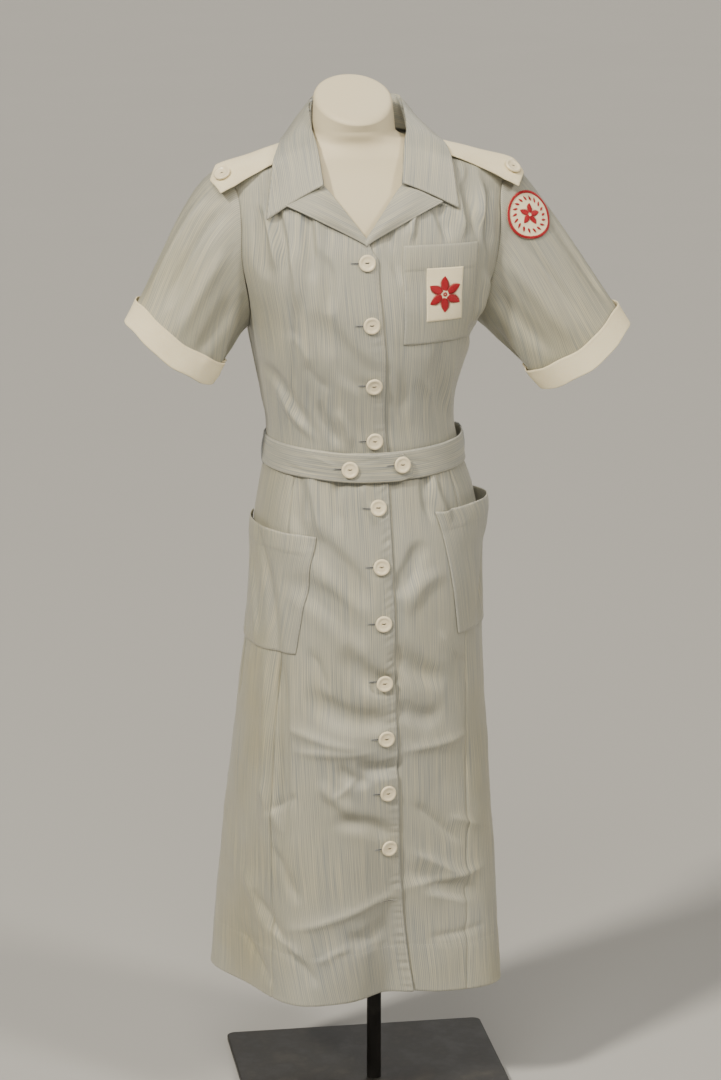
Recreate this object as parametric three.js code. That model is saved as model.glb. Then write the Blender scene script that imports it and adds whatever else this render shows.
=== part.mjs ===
// Nurse uniform dress on a limbless dress form: a short-sleeved, button-front dress of striped
// cotton with white cuffs and shoulder straps. Millimetres, +Z up, the front faces -Y and the
// wearer's left is +X. The origin is the middle of the stand's underside.
import * as THREE from "three";

// Driving dimensions
const CLOTH = 1.2; // thickness of one layer of cotton
const SEAM = 0.3; // gap between two pieces at a seam
const LIFT = 0.7; // gap between a panel and what lies on it
const HEM_Z = 165;
const WAIST_Z = 880; // waist seam, under the belt
const BREAK_Z = 1158; // where the lapels start to turn back
const NECK_Z = 1276; // neck seam at the shoulder
const ARMPIT_Z = 1042;
const SHOULDER_Z = 1243; // shoulder point, top of the armhole
const ARMHOLE_HALF_DEPTH = 56; // half the armhole's width, front to back
const OVERLAP = 14; // the right front reaches this far past the centre line
const UNDERLAP = 24; // the left front reaches this far under it
const GORE_ANGLE = 55; // skirt seams, degrees round from the front
const BACK_SEAM_ANGLE = 118;
const BELT_WIDTH = 39;
const CUFF_WIDTH = 31;
const BUTTON_DIAMETER = 22.5;
const BUTTON_THICKNESS = 3.4;
const BASE_SIDE = 356;
const BASE_THICKNESS = 8;
const POLE_DIAMETER = 19;
const FORM_BOTTOM_Z = 640;

// Cross-sections of the dress body. opening is how far the buttoned line lies from the middle.
const BODY = [
  { z: 150, middle: -28, half: 188, front: 128, back: 150, square: 2.2, opening: 46 },
  { z: 300, middle: -25, half: 182, front: 126, back: 145, square: 2.2, opening: 30 },
  { z: 470, middle: -21, half: 169, front: 126, back: 138, square: 2.2, opening: 19 },
  { z: 630, middle: -15, half: 154, front: 126, back: 132, square: 2.2, opening: 7 },
  { z: 700, middle: -12, half: 149, front: 125, back: 129, square: 2.2, opening: 3 },
  { z: 762, middle: -11, half: 147, front: 120, back: 123, square: 2.2, opening: 0 },
  { z: 826, middle: -12, half: 138, front: 109, back: 109, square: 2.2, opening: -1 },
  { z: 880, middle: -16, half: 125, front: 100, back: 94, square: 2.2, opening: 2 },
  { z: 918, middle: -20, half: 120, front: 101, back: 89, square: 2.2, opening: 3 },
  { z: 952, middle: -22, half: 124, front: 106, back: 92, square: 2.2, opening: 3 },
  { z: 1022, middle: -18, half: 141, front: 119, back: 105, square: 2.3, opening: -2 },
  { z: 1060, middle: -16, half: 150, front: 119, back: 111, square: 2.4, opening: -7 },
  { z: 1134, middle: -14, half: 174, front: 108, back: 113, square: 2.6, opening: -13 },
  { z: 1180, middle: -12, half: 182, front: 93, back: 104, square: 2.5, opening: -11 },
  { z: 1219, middle: -12, half: 184, front: 75, back: 88, square: 2.3, opening: -11 },
  { z: 1243, middle: -13, half: 180, front: 64, back: 77, square: 2.2, opening: -11 },
  { z: 1258, middle: -16, half: 134, front: 59, back: 69, square: 2.1, opening: -10 },
  { z: 1276, middle: -22, half: 74, front: 54, back: 59, square: 2.0, opening: -4 },
];

// Folds that the skirt hangs in. at and wide are degrees round from the front, depth is at the hem.
const SKIRT_FOLDS = [
  { at: 21, wide: 27, depth: -40, top: 660 },
  { at: -37, wide: 13, depth: 6, top: 600 },
  { at: -76, wide: 24, depth: -38, top: 620 },
  { at: -113, wide: 17, depth: 15, top: 560 },
  { at: 67, wide: 14, depth: 19, top: 620 },
  { at: 100, wide: 15, depth: -16, top: 560 },
  { at: 135, wide: 14, depth: 12, top: 600 },
  { at: 163, wide: 12, depth: -14, top: 560 },
  { at: -168, wide: 13, depth: 11, top: 600 },
  { at: -142, wide: 12, depth: -13, top: 560 },
];

// Gathers of the fronts below the shoulder seam. x is from the section's middle, run is the length.
const GATHERS = [
  { x: -132, wide: 6, depth: 2.4, run: 90 },
  { x: -112, wide: 6, depth: 3.4, run: 120 },
  { x: -92, wide: 6, depth: 3.8, run: 150 },
  { x: -72, wide: 6, depth: 3.4, run: 170 },
  { x: 72, wide: 6, depth: 3.0, run: 130 },
  { x: 92, wide: 6, depth: 3.4, run: 120 },
  { x: 112, wide: 6, depth: 3.6, run: 120 },
  { x: 132, wide: 6, depth: 2.8, run: 110 },
];

// Each sleeve's end ring. out is from the body's middle, tilt turns its outer side up,
// swell rounds the sleeve head. The front of the ring hangs lower by its droop.
const SLEEVE_DROOP = 0.27;
const SLEEVE_ENDS = [
  { name: "right", side: -1, out: 252, forward: 42, z: 1021, tilt: 53, half: 67, depth: 43, swell: 0.84 },
  { name: "left", side: 1, out: 276, forward: 42, z: 1000, tilt: 55, half: 69, depth: 43, swell: 0.54 },
];

// Half of the collar from its front end to the centre back: foot of the stand and roll as points
// from the collar's middle, edge as a place on the shoulders (across, deep) and its height off them
const COLLAR_MIDDLE = -26;
const RIGHT_TIP_RISE = 9; // the right collar point lies this much farther back
const COLLAR = [
  { turn: 0, shift: -1, foot: [54, -72, 1230], roll: [49, -74, 1234], edge: [118, -69, 5.2] },
  { turn: 0.18, shift: 1, foot: [57, -47, 1267], roll: [54, -45, 1272], edge: [109, -48, 9] },
  { turn: 0.36, shift: 4, foot: [65, -20, 1283], roll: [60, -10, 1293], edge: [97, -16, 9] },
  { turn: 0.54, shift: 6, foot: [67, 6, 1283], roll: [59, 27, 1311], edge: [90, 22, 7] },
  { turn: 0.72, shift: 10, foot: [56, 36, 1281], roll: [54, 56, 1320], edge: [78, 50, 7] },
  { turn: 0.86, shift: 9, foot: [34, 56, 1281], roll: [32, 71, 1323], edge: [46, 67, 10] },
  { turn: 1, shift: 9, foot: [0, 63, 1281], roll: [0, 76, 1324], edge: [0, 71, 13] },
];

// The form inside the dress, smooth and whole, up to the neck
const FORM = [
  { z: 640, middle: -9, half: 128, front: 100, back: 108, square: 2.1 },
  { z: 762, middle: -10, half: 133, front: 105, back: 110, square: 2.1 },
  { z: 826, middle: -12, half: 125, front: 97, back: 98, square: 2.1 },
  { z: 890, middle: -17, half: 113, front: 90, back: 84, square: 2.1 },
  { z: 918, middle: -20, half: 111, front: 91, back: 81, square: 2.1 },
  { z: 952, middle: -22, half: 115, front: 96, back: 85, square: 2.1 },
  { z: 1022, middle: -18, half: 133, front: 111, back: 99, square: 2.2 },
  { z: 1060, middle: -17, half: 140, front: 110, back: 104, square: 2.3 },
  { z: 1134, middle: -16, half: 152, front: 97, back: 106, square: 2.4 },
  { z: 1180, middle: -14, half: 160, front: 83, back: 96, square: 2.3 },
  { z: 1219, middle: -13, half: 165, front: 66, back: 79, square: 2.2 },
  { z: 1240.6, middle: -13, half: 156, front: 57, back: 70, square: 2.1 },
  { z: 1255.6, middle: -16, half: 132, front: 52, back: 58, square: 2.1 },
  { z: 1274, middle: -22, half: 70, front: 47, back: 53, square: 2.0 },
  { z: 1287, middle: -27, half: 52, front: 51, back: 48, square: 2.0 },
  { z: 1350, middle: -28, half: 49, front: 56, back: 48, square: 2.0 },
];
const NECK_CAP = { z: 1330, tilt: 25 };

// Front buttons from the top
const BUTTON_HEIGHTS = [1136, 1060, 982, 909, 825, 751, 678, 599, 524, 449, 372];

const radians = THREE.MathUtils.degToRad;
const lerp = THREE.MathUtils.lerp;
const clamp = THREE.MathUtils.clamp;
const smoothstep = THREE.MathUtils.smoothstep;
const point = (x, y, z) => new THREE.Vector3(x, y, z);
const range = (count) => Array.from({ length: count + 1 }, (_, i) => i / count);
const bump = (distance, wide) => Math.exp(-((distance / wide) ** 2));

// Value of one column of a table at a station, on a smooth curve that never overshoots its rows.
function column(table, key, name, at) {
  const last = table.length - 1;
  const k = clamp(table.findIndex((row) => row[key] > at) - 1, 0, last - 1);
  const i = at >= table[last][key] ? last - 1 : k;
  const slope = (j) => (table[j + 1][name] - table[j][name]) / (table[j + 1][key] - table[j][key]);
  const tangent = (j) => {
    if (j === 0) return slope(0);
    if (j === last) return slope(last - 1);
    const [before, after] = [slope(j - 1), slope(j)];
    return before * after <= 0 ? 0 : (2 * before * after) / (before + after);
  };
  const span = table[i + 1][key] - table[i][key];
  const t = clamp((at - table[i][key]) / span, 0, 1);
  const [t2, t3] = [t * t, t * t * t];
  return (
    (2 * t3 - 3 * t2 + 1) * table[i][name] +
    (t3 - 2 * t2 + t) * span * tangent(i) +
    (3 * t2 - 2 * t3) * table[i + 1][name] +
    (t3 - t2) * span * tangent(i + 1)
  );
}

const body = (name, z) => column(BODY, "z", name, z);

// Distance from a section's middle to a plain superellipse, at an angle from the front
function ovalReach(angle, half, front, back, square) {
  const depth = Math.cos(angle) > 0 ? front : back;
  const across = Math.abs(Math.sin(angle)) / half;
  const along = Math.abs(Math.cos(angle)) / depth;
  return (across ** square + along ** square) ** (-1 / square);
}

const plainReach = (angle, z) =>
  ovalReach(angle, body("half", z), body("front", z), body("back", z), body("square", z));

function skirtFolds(angle, z) {
  return SKIRT_FOLDS.reduce((sum, fold) => {
    const grown = clamp((fold.top - z) / (fold.top - HEM_Z), 0, 1.05);
    const away = THREE.MathUtils.euclideanModulo(angle - radians(fold.at) + Math.PI, 2 * Math.PI) - Math.PI;
    return sum + fold.depth * grown * Math.sqrt(grown) * bump(away, radians(fold.wide));
  }, 0);
}

function shoulderGathers(angle, z, reach) {
  if (Math.cos(angle) <= 0) return 0;
  const x = reach * Math.sin(angle);
  return GATHERS.reduce((sum, gather) => {
    const top = lerp(NECK_Z, SHOULDER_Z, (Math.abs(gather.x) - 74) / 110);
    const drop = top - z;
    const fade = smoothstep(drop, 4, 24) * (1 - smoothstep(drop, gather.run * 0.35, gather.run));
    return sum + gather.depth * fade * bump(x - gather.x, gather.wide);
  }, 0);
}

function reachOf(angle, z) {
  const plain = plainReach(angle, z);
  return plain + skirtFolds(angle, z) + shoulderGathers(angle, z, plain);
}

function bodyPoint(angle, z) {
  const reach = reachOf(angle, z);
  return point(body("middle", z) + reach * Math.sin(angle), -reach * Math.cos(angle), z);
}

// Outward normal of any surface given as a function of two numbers
function normalOf(surface, u, v, du, dv) {
  const along = surface(u + du, v).sub(surface(u - du, v));
  const up = surface(u, v + dv).sub(surface(u, v - dv));
  return along.cross(up).normalize();
}

const ANGLE_STEP = radians(0.4);
const HEIGHT_STEP = 0.5;

function onBody(angle, z, out = 0) {
  return bodyPoint(angle, z).addScaledVector(normalOf(bodyPoint, angle, z, ANGLE_STEP, HEIGHT_STEP), out);
}

// Angle of the buttoned centre line at a height
function openingAngle(z) {
  const offset = body("opening", z);
  let angle = 0;
  for (let pass = 0; pass < 6; pass += 1) angle = Math.asin(offset / reachOf(angle, z));
  return angle;
}

// Angle that lies a distance along the cloth from another angle
const stepAngle = (angle, z, distance) => angle + distance / reachOf(angle, z);

// Angle at which the body has a given x, on its front
function frontAngle(x, z) {
  const offset = x - body("middle", z);
  let angle = Math.atan2(offset, body("front", z));
  for (let pass = 0; pass < 12; pass += 1) {
    const miss = reachOf(angle, z) * Math.sin(angle) - offset;
    angle -= clamp(miss / Math.max(plainReach(angle, z) * Math.cos(angle), 12), -0.15, 0.15);
  }
  return angle;
}

// Puts a closed surface into a geometry with its faces pointing out
function solid(points, triangles) {
  const volume = triangles.reduce((sum, [a, b, c]) => {
    return sum + points[a].dot(points[b].clone().cross(points[c]));
  }, 0);
  const geometry = new THREE.BufferGeometry().setFromPoints(points);
  geometry.setIndex(triangles.flatMap(([a, b, c]) => (volume < 0 ? [a, c, b] : [a, b, c])));
  geometry.computeVertexNormals();
  return geometry;
}

// Closed wall between an outside and an inside grid of points, rows of equal length.
// round joins each row's end to its start.
function wall(outside, inside, round = false) {
  const rows = outside.length;
  const columns = outside[0].length;
  const points = [...outside.flat(), ...inside.flat()];
  const shift = rows * columns;
  const id = (i, j) => i * columns + (j % columns);
  const triangles = [];
  const quad = (a, b, c, d) => triangles.push([a, b, c], [a, c, d]);
  const spans = round ? columns : columns - 1;
  for (let j = 0; j < spans; j += 1) {
    for (let i = 0; i < rows - 1; i += 1) {
      quad(id(i, j), id(i, j + 1), id(i + 1, j + 1), id(i + 1, j));
      quad(shift + id(i, j), shift + id(i + 1, j), shift + id(i + 1, j + 1), shift + id(i, j + 1));
    }
    quad(id(0, j + 1), id(0, j), shift + id(0, j), shift + id(0, j + 1));
    quad(id(rows - 1, j), id(rows - 1, j + 1), shift + id(rows - 1, j + 1), shift + id(rows - 1, j));
  }
  for (let i = 0; !round && i < rows - 1; i += 1) {
    quad(id(i, 0), id(i + 1, 0), shift + id(i + 1, 0), shift + id(i, 0));
    quad(id(i + 1, columns - 1), id(i, columns - 1), shift + id(i, columns - 1), shift + id(i + 1, columns - 1));
  }
  return solid(points, triangles);
}

// Wall on a grid of surface places. place(u, v, out) gives a point moved out from the surface.
function sheet(rows, columns, place, { out = 0, thickness = CLOTH, round = false } = {}) {
  const grid = (offset) => rows.map((v) => columns.map((u) => place(u, v, offset)));
  return wall(grid(out), grid(out - thickness), round);
}

const finishes = {
  stripe: { color: 0xa9aaa6, roughness: 0.85 },
  white: { color: 0xe9e2cd, roughness: 0.85 },
  button: { color: 0xf0ebdc, roughness: 0.35 },
  badge: { color: 0xb3222a, roughness: 0.8 },
  form: { color: 0xd9d2bf, roughness: 0.6 },
  metal: { color: 0x1d1b19, roughness: 0.5, metalness: 0.7 },
};

const dress = new THREE.Group();

function add(name, finish, geometry) {
  const mesh = new THREE.Mesh(geometry, new THREE.MeshStandardMaterial(finishes[finish]));
  mesh.name = name;
  dress.add(mesh);
  return mesh;
}

// Skirt gores
const skirtRows = range(12).map((t) => lerp(HEM_Z, WAIST_Z - SEAM / 2, t));

// A panel between two edges, each an angle at every height
function panel(rows, columns, from, to, sink = () => 0) {
  const place = (u, z, out) => {
    const angle = lerp(from(z), to(z), u);
    return onBody(angle, z, out + sink(angle, z));
  };
  return sheet(rows, columns, place);
}

const overlapEdge = (z) => stepAngle(openingAngle(z), z, OVERLAP);
const underlapEdge = (z) => stepAngle(openingAngle(z), z, -UNDERLAP);
const seamAngle = (degrees, side) => (z) => stepAngle(radians(degrees), z, (side * SEAM) / 2);

// The left front sinks by a layer where the right front lies on it
function underlapSink(angle, z) {
  const past = (angle - overlapEdge(z)) * reachOf(angle, z);
  return -(CLOTH + LIFT) * (1 - smoothstep(past, 3, 26));
}

const frontColumns = [0, 0.09, 0.18, 0.27, 0.36, 0.45, 0.54, 0.63, 0.72, 0.81, 0.91, 1];
const goreRight = seamAngle(-GORE_ANGLE, 1);
const goreLeft = seamAngle(GORE_ANGLE, -1);
const backRight = seamAngle(360 - BACK_SEAM_ANGLE, -1);
const backLeft = seamAngle(BACK_SEAM_ANGLE, 1);
add("skirt_front_right", "stripe", panel(skirtRows, frontColumns, goreRight, overlapEdge));
add("skirt_front_left", "stripe", panel(skirtRows, frontColumns, underlapEdge, goreLeft, underlapSink));
const sideRight = panel(skirtRows, range(7), seamAngle(-BACK_SEAM_ANGLE, 1), seamAngle(-GORE_ANGLE, -1));
add("skirt_side_right", "stripe", sideRight);
const sideLeft = panel(skirtRows, range(7), seamAngle(GORE_ANGLE, 1), seamAngle(BACK_SEAM_ANGLE, -1));
add("skirt_side_left", "stripe", sideLeft);
add("skirt_back", "stripe", panel(skirtRows, range(14), backLeft, backRight));

// Bodice. Its side edge is the side seam, then the armhole, then the shoulder seam.
const ARMHOLE_Z = (ARMPIT_Z + SHOULDER_Z) / 2;
const ARMHOLE_HALF_HEIGHT = (SHOULDER_Z - ARMPIT_Z) / 2;

function armholeDepth(z) {
  const up = clamp((z - ARMHOLE_Z) / ARMHOLE_HALF_HEIGHT, -1, 1);
  return ARMHOLE_HALF_DEPTH * Math.sqrt(1 - up * up);
}

// Angle where the body is a distance in front of its side line (behind it where negative)
function sideAngle(ahead, z) {
  let angle = Math.PI / 2;
  for (let pass = 0; pass < 24; pass += 1) angle = Math.acos(clamp(ahead / reachOf(angle, z), -1, 1));
  return angle;
}

const frontSide = (z) => sideAngle(armholeDepth(z) + SEAM / 2, z);
const backSide = (z) => sideAngle(-armholeDepth(z) - SEAM / 2, z);

// The edges of the neck: the roll line of each lapel in front, plain behind
const ROLL_TOP = { across: 51, z: 1230 };

function rollAcross(z, side) {
  const start = openingAngle(BREAK_Z) + (side > 0 ? -0.06 : 0.02);
  const foot = body("middle", BREAK_Z) + reachOf(start, BREAK_Z) * Math.sin(start);
  const gorge = COLLAR_MIDDLE + side * ROLL_TOP.across;
  const neck = COLLAR_MIDDLE + side * 68;
  if (z < ROLL_TOP.z) return lerp(foot, gorge, (z - BREAK_Z) / (ROLL_TOP.z - BREAK_Z));
  return lerp(gorge, neck, (z - ROLL_TOP.z) / (NECK_Z - ROLL_TOP.z));
}

const rollAngle = (z, side) => frontAngle(rollAcross(z, side), z);
const rightInner = (z) => (z <= BREAK_Z ? overlapEdge(z) : Math.min(overlapEdge(z), rollAngle(z, -1)));
const leftInner = (z) => (z <= BREAK_Z ? underlapEdge(z) : Math.max(underlapEdge(z), rollAngle(z, 1)));

// Grid of places (angle, height) inside four edges: start and end run up, foot and top run across
function patch(rows, columns, { start, end, foot, top }) {
  const mix = (a, b, t) => [lerp(a[0], b[0], t), lerp(a[1], b[1], t)];
  return rows.map((v) =>
    columns.map((u) => {
      const across = mix(start(v), end(v), u);
      const up = mix(foot(u), top(u), v);
      const corners = mix(mix(foot(0), foot(1), u), mix(top(0), top(1), u), v);
      return [across[0] + up[0] - corners[0], across[1] + up[1] - corners[1]];
    })
  );
}

function layer(places, out, thickness, sink = () => 0) {
  const grid = (offset) =>
    places.map((row) => row.map(([angle, z]) => onBody(angle, z, offset + sink(angle, z))));
  return wall(grid(out), grid(out - thickness));
}

const SIDE_SHARE = 0.3; // share of the bodice's rows that lies below the armpit
const bodiceRows = [...range(4).slice(0, -1).map((t) => SIDE_SHARE * t)].concat(
  range(13).map((t) => lerp(1, SIDE_SHARE, (1 - t) ** 1.5))
);
const WAIST_EDGE = WAIST_Z + SEAM / 2;

// Height at a row on the neck side, and on the armhole side
function innerHeight(v) {
  if (v < SIDE_SHARE) return lerp(WAIST_EDGE, ARMPIT_Z, v / SIDE_SHARE);
  return lerp(ARMPIT_Z, NECK_Z, (v - SIDE_SHARE) / (1 - SIDE_SHARE));
}

function outerHeight(v) {
  if (v < SIDE_SHARE) return lerp(WAIST_EDGE, ARMPIT_Z, v / SIDE_SHARE);
  const turn = (Math.PI * (v - SIDE_SHARE)) / (1 - SIDE_SHARE);
  return ARMHOLE_Z - ARMHOLE_HALF_HEIGHT * Math.cos(turn);
}

// Shoulder seam from the neck to the armhole, on the front's side of it or the back's
function shoulderSeam(t, ahead) {
  const z = lerp(NECK_Z, SHOULDER_Z, t);
  return [sideAngle((ahead * SEAM) / 2, z), z];
}

const gatherColumns = [0, 0.08, 0.15, ...range(15).map((t) => lerp(0.2, 0.86, t)), 0.93, 1];

function bodiceFront(side, innerEdge, sink) {
  const mirror = ([angle, z]) => [side * angle, z];
  const places = patch(bodiceRows, gatherColumns, {
    start: (v) => [innerEdge(innerHeight(v)), innerHeight(v)],
    end: (v) => mirror([frontSide(outerHeight(v)), outerHeight(v)]),
    foot: (u) => [lerp(innerEdge(WAIST_EDGE), side * frontSide(WAIST_EDGE), u), WAIST_EDGE],
    top: (u) => (u === 0 ? [innerEdge(NECK_Z), NECK_Z] : mirror(shoulderSeam(u, 1))),
  });
  return layer(places, 0, CLOTH, sink);
}

add("bodice_front_right", "stripe", bodiceFront(-1, rightInner));
add("bodice_front_left", "stripe", bodiceFront(1, leftInner, underlapSink));

const BACK_SHOULDER = 0.3; // share of the back's width that each shoulder seam takes
const backTop = (u) => {
  const near = u < 0.5 ? u : 1 - u;
  const along = Math.min(near / BACK_SHOULDER, 1);
  const [angle, z] = shoulderSeam(1 - along, -1);
  const round = lerp(angle, Math.PI, clamp((near - BACK_SHOULDER) / (0.5 - BACK_SHOULDER), 0, 1));
  return [u < 0.5 ? round : 2 * Math.PI - round, z];
};
const backPlaces = patch(bodiceRows, range(20), {
  start: (v) => [backSide(outerHeight(v)), outerHeight(v)],
  end: (v) => [2 * Math.PI - backSide(outerHeight(v)), outerHeight(v)],
  foot: (u) => [lerp(backSide(WAIST_EDGE), 2 * Math.PI - backSide(WAIST_EDGE), u), WAIST_EDGE],
  top: backTop,
});
add("bodice_back", "stripe", layer(backPlaces, 0, CLOTH));

// Point of the shoulders and chest above a place on the floor, moved out along the surface's normal
function ridgePoint(x, y) {
  let [low, high] = [1120, NECK_Z + 20];
  for (let pass = 0; pass < 32; pass += 1) {
    const z = (low + high) / 2;
    const across = x - body("middle", z);
    if (reachOf(Math.atan2(across, -y), z) > Math.hypot(across, y)) low = z;
    else high = z;
  }
  return point(x, y, (low + high) / 2);
}

function onRidge(x, y, out) {
  return ridgePoint(x, y).addScaledVector(normalOf(ridgePoint, x, y, 1, 1), out);
}

// Lapels lie on the fronts from the roll line to their edge
const LAPEL_LIFT = 1.9;
const LAPEL_TIP = { across: 101, z: 1205 };

function lapel(side) {
  const edgeAcross = (t) => {
    const start = rollAcross(BREAK_Z, side);
    return lerp(start, COLLAR_MIDDLE + side * LAPEL_TIP.across, t);
  };
  const edgeHeight = (t) => lerp(BREAK_Z - 4, LAPEL_TIP.z, t ** 0.9);
  const place = (w, t, out) => {
    const rollZ = lerp(BREAK_Z, ROLL_TOP.z, t);
    const x = lerp(rollAcross(rollZ, side), edgeAcross(t), w);
    const z = lerp(rollZ, edgeHeight(t), w);
    const puff = 3 * Math.sin(Math.PI * w) * Math.sin(Math.PI * clamp(t, 0, 1));
    return onBody(frontAngle(x, z), z, out + LAPEL_LIFT + CLOTH + puff);
  };
  return sheet(range(9).map((t) => lerp(0.08, 0.97, t)), range(5), place);
}

add("lapel_right", "stripe", lapel(-1));
add("lapel_left", "stripe", lapel(1));

// Collar: each station bends from the foot of its stand over the roll to its edge
const COLLAR_CLOTH = 2 * CLOTH;
const collarValue = (part, index, turn) => {
  const rows = COLLAR.map((row) => ({ turn: row.turn, value: row[part][index] }));
  return column(rows, "turn", "value", turn);
};

function collarPoint(s, w) {
  const side = s < 0 ? -1 : 1;
  const turn = 1 - Math.abs(s);
  const [foot, roll, lie] = ["foot", "roll", "edge"].map((part) =>
    point(...[0, 1, 2].map((index) => collarValue(part, index, turn)))
  );
  const middle = COLLAR_MIDDLE + column(COLLAR, "turn", "shift", turn);
  if (side < 0) lie.y += lerp(RIGHT_TIP_RISE, 0, clamp(turn / 0.3, 0, 1));
  foot.x = middle + side * foot.x;
  roll.x = middle + side * roll.x;
  const edge = onRidge(middle + side * lie.x, lie.y, lie.z);
  const swell = point(0, 0, 0).lerpVectors(roll, edge, 0.45);
  swell.z += lerp(2, 5, smoothstep(turn, 0, 0.4));
  const bend = new THREE.CatmullRomCurve3([foot, roll, swell, edge], false, "centripetal");
  return bend.getPoint(clamp(w, 0, 1));
}

const collarPlace = (s, w, out) =>
  collarPoint(s, w).addScaledVector(normalOf(collarPoint, s, w, 0.004, 0.01), -out);
const collarRows = [0, 0.18, 0.28, 0.33, 0.38, 0.48, 0.65, 0.82, 1];
const collarColumns = range(26).map((t) => lerp(-1, 1, t));
add("collar", "stripe", sheet(collarRows, collarColumns, collarPlace, { out: COLLAR_CLOTH / 2, thickness: COLLAR_CLOTH }));

// Sleeves: from the armhole to the end ring, each line round it a smooth curve
const sleeveRing = range(24).slice(0, -1).map((t) => 2 * Math.PI * t);

function armholePoint(turn, side) {
  const seamZ = ARMHOLE_Z + Math.cos(turn) * ARMHOLE_HALF_HEIGHT;
  const angle = sideAngle(Math.sin(turn) * ARMHOLE_HALF_DEPTH, seamZ);
  const across = reachOf(angle, seamZ) * Math.sin(angle) + 2 * SEAM;
  const ahead = Math.sin(turn) * (ARMHOLE_HALF_DEPTH - SEAM);
  const z = ARMHOLE_Z + Math.cos(turn) * (ARMHOLE_HALF_HEIGHT - SEAM);
  return point(body("middle", seamZ) + side * across, -ahead, z);
}

function sleeveEndPoint(turn, { side, out, forward, z, tilt, half, depth }) {
  const lift = Math.cos(turn) * half;
  const ahead = Math.sin(turn) * depth;
  const x = body("middle", ARMHOLE_Z) + side * (out + lift * Math.sin(radians(tilt)));
  return point(x, -forward - 0.95 * ahead, z + lift * Math.cos(radians(tilt)) - SLEEVE_DROOP * ahead);
}

const sleeveSurface = (ring) => (turn, t) => {
  const start = armholePoint(turn, ring.side);
  const end = sleeveEndPoint(turn, ring);
  const high = (1 + Math.cos(turn)) / 2;
  const reach = start.distanceTo(end);
  const leave = point(ring.side * lerp(0.75, 1.05, high), -0.1, lerp(-0.55, -0.38, high));
  leave.multiplyScalar(ring.swell);
  const arrive = point(ring.side * 0.6, -0.2, -0.78);
  const [t2, t3] = [t * t, t * t * t];
  return start
    .multiplyScalar(2 * t3 - 3 * t2 + 1)
    .addScaledVector(leave, reach * (t3 - 2 * t2 + t))
    .addScaledVector(end, 3 * t2 - 2 * t3)
    .addScaledVector(arrive, reach * (t3 - t2));
};

function onSleeve(ring) {
  const surface = sleeveSurface(ring);
  return (turn, t, out) => {
    const normal = normalOf(surface, turn, Math.max(t, 0.02), 0.02, 0.01);
    return surface(turn, t).addScaledVector(normal, ring.side * out);
  };
}

for (const ring of SLEEVE_ENDS) {
  const place = onSleeve(ring);
  add(`sleeve_${ring.name}`, "stripe", sheet(range(9), sleeveRing, place, { round: true }));
  const surface = sleeveSurface(ring);
  const cuffPlace = (turn, v, out) => {
    const slant = surface(turn, 1).distanceTo(surface(turn, 0.8)) / 0.2;
    return place(turn, 1.005 - (v * CUFF_WIDTH) / slant, out + LIFT + CLOTH + 2.2 * v);
  };
  add(`cuff_${ring.name}`, "white", sheet(range(3), sleeveRing, cuffPlace, { round: true }));
}

// Round badge on the left sleeve, laid out in rings round its middle
const ROUND_BADGE = { turn: 0.78, t: 0.29, radius: 31 };
{
  const ring = SLEEVE_ENDS[1];
  const surface = sleeveSurface(ring);
  const place = onSleeve(ring);
  const { turn, t, radius } = ROUND_BADGE;
  const round = surface(turn + 0.05, t).sub(surface(turn - 0.05, t)).divideScalar(0.1);
  const along = surface(turn, t + 0.05).sub(surface(turn, t - 0.05)).divideScalar(0.1);
  const first = round.clone().normalize();
  const second = along.clone().addScaledVector(first, -along.dot(first)).normalize();
  const spot = (angle, r, out) => {
    const down = (r * Math.sin(angle)) / along.dot(second);
    const aside = (r * Math.cos(angle) - down * along.dot(first)) / round.length();
    return place(turn + aside, t + down, out + LIFT + CLOTH);
  };
  const rings = [0.02, 0.35, 0.68, 1].map((share) => share * radius);
  const disc = (out) => rings.map((r) => range(24).slice(0, -1).map((a) => spot(2 * Math.PI * a, r, out)));
  add("patch_sleeve", "badge", wall(disc(0), disc(-CLOTH), true));
}

// Things on the front: a patch given by its corners, each across from the body's middle and a height
function frontPatch(rows, columns, corner, gape, thickness = CLOTH, lift = LIFT) {
  const place = (u, v, out) => {
    const across = lerp(lerp(corner.lowIn[0], corner.lowOut[0], u), lerp(corner.topIn[0], corner.topOut[0], u), v);
    const z = lerp(lerp(corner.lowIn[1], corner.lowOut[1], u), lerp(corner.topIn[1], corner.topOut[1], u), v);
    const angle = frontAngle(body("middle", z) + across, z);
    return onBody(angle, z, out + lift + thickness + gape(u, v));
  };
  return sheet(rows, columns, place, { thickness });
}

const CHEST = { lowIn: [35, 1034], lowOut: [127, 1034], topIn: [32, 1155], topOut: [129, 1155] };
const chestGape = (u, v) => 2.5 * smoothstep(v, 0.6, 1) * Math.sin(Math.PI * u);
add("pocket_chest", "stripe", frontPatch(range(8), range(9), CHEST, chestGape));
const BADGE = { lowIn: [62, 1062], lowOut: [108, 1062], topIn: [62, 1127], topOut: [108, 1127] };
const badgeGape = (u, v) => {
  const across = (lerp(62, 108, u) - 33) / 95;
  return LIFT + CLOTH + chestGape(across, (lerp(1062, 1127, v) - 1034) / 121);
};
add("patch_pocket", "white", frontPatch(range(4), range(4), BADGE, badgeGape));

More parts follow.
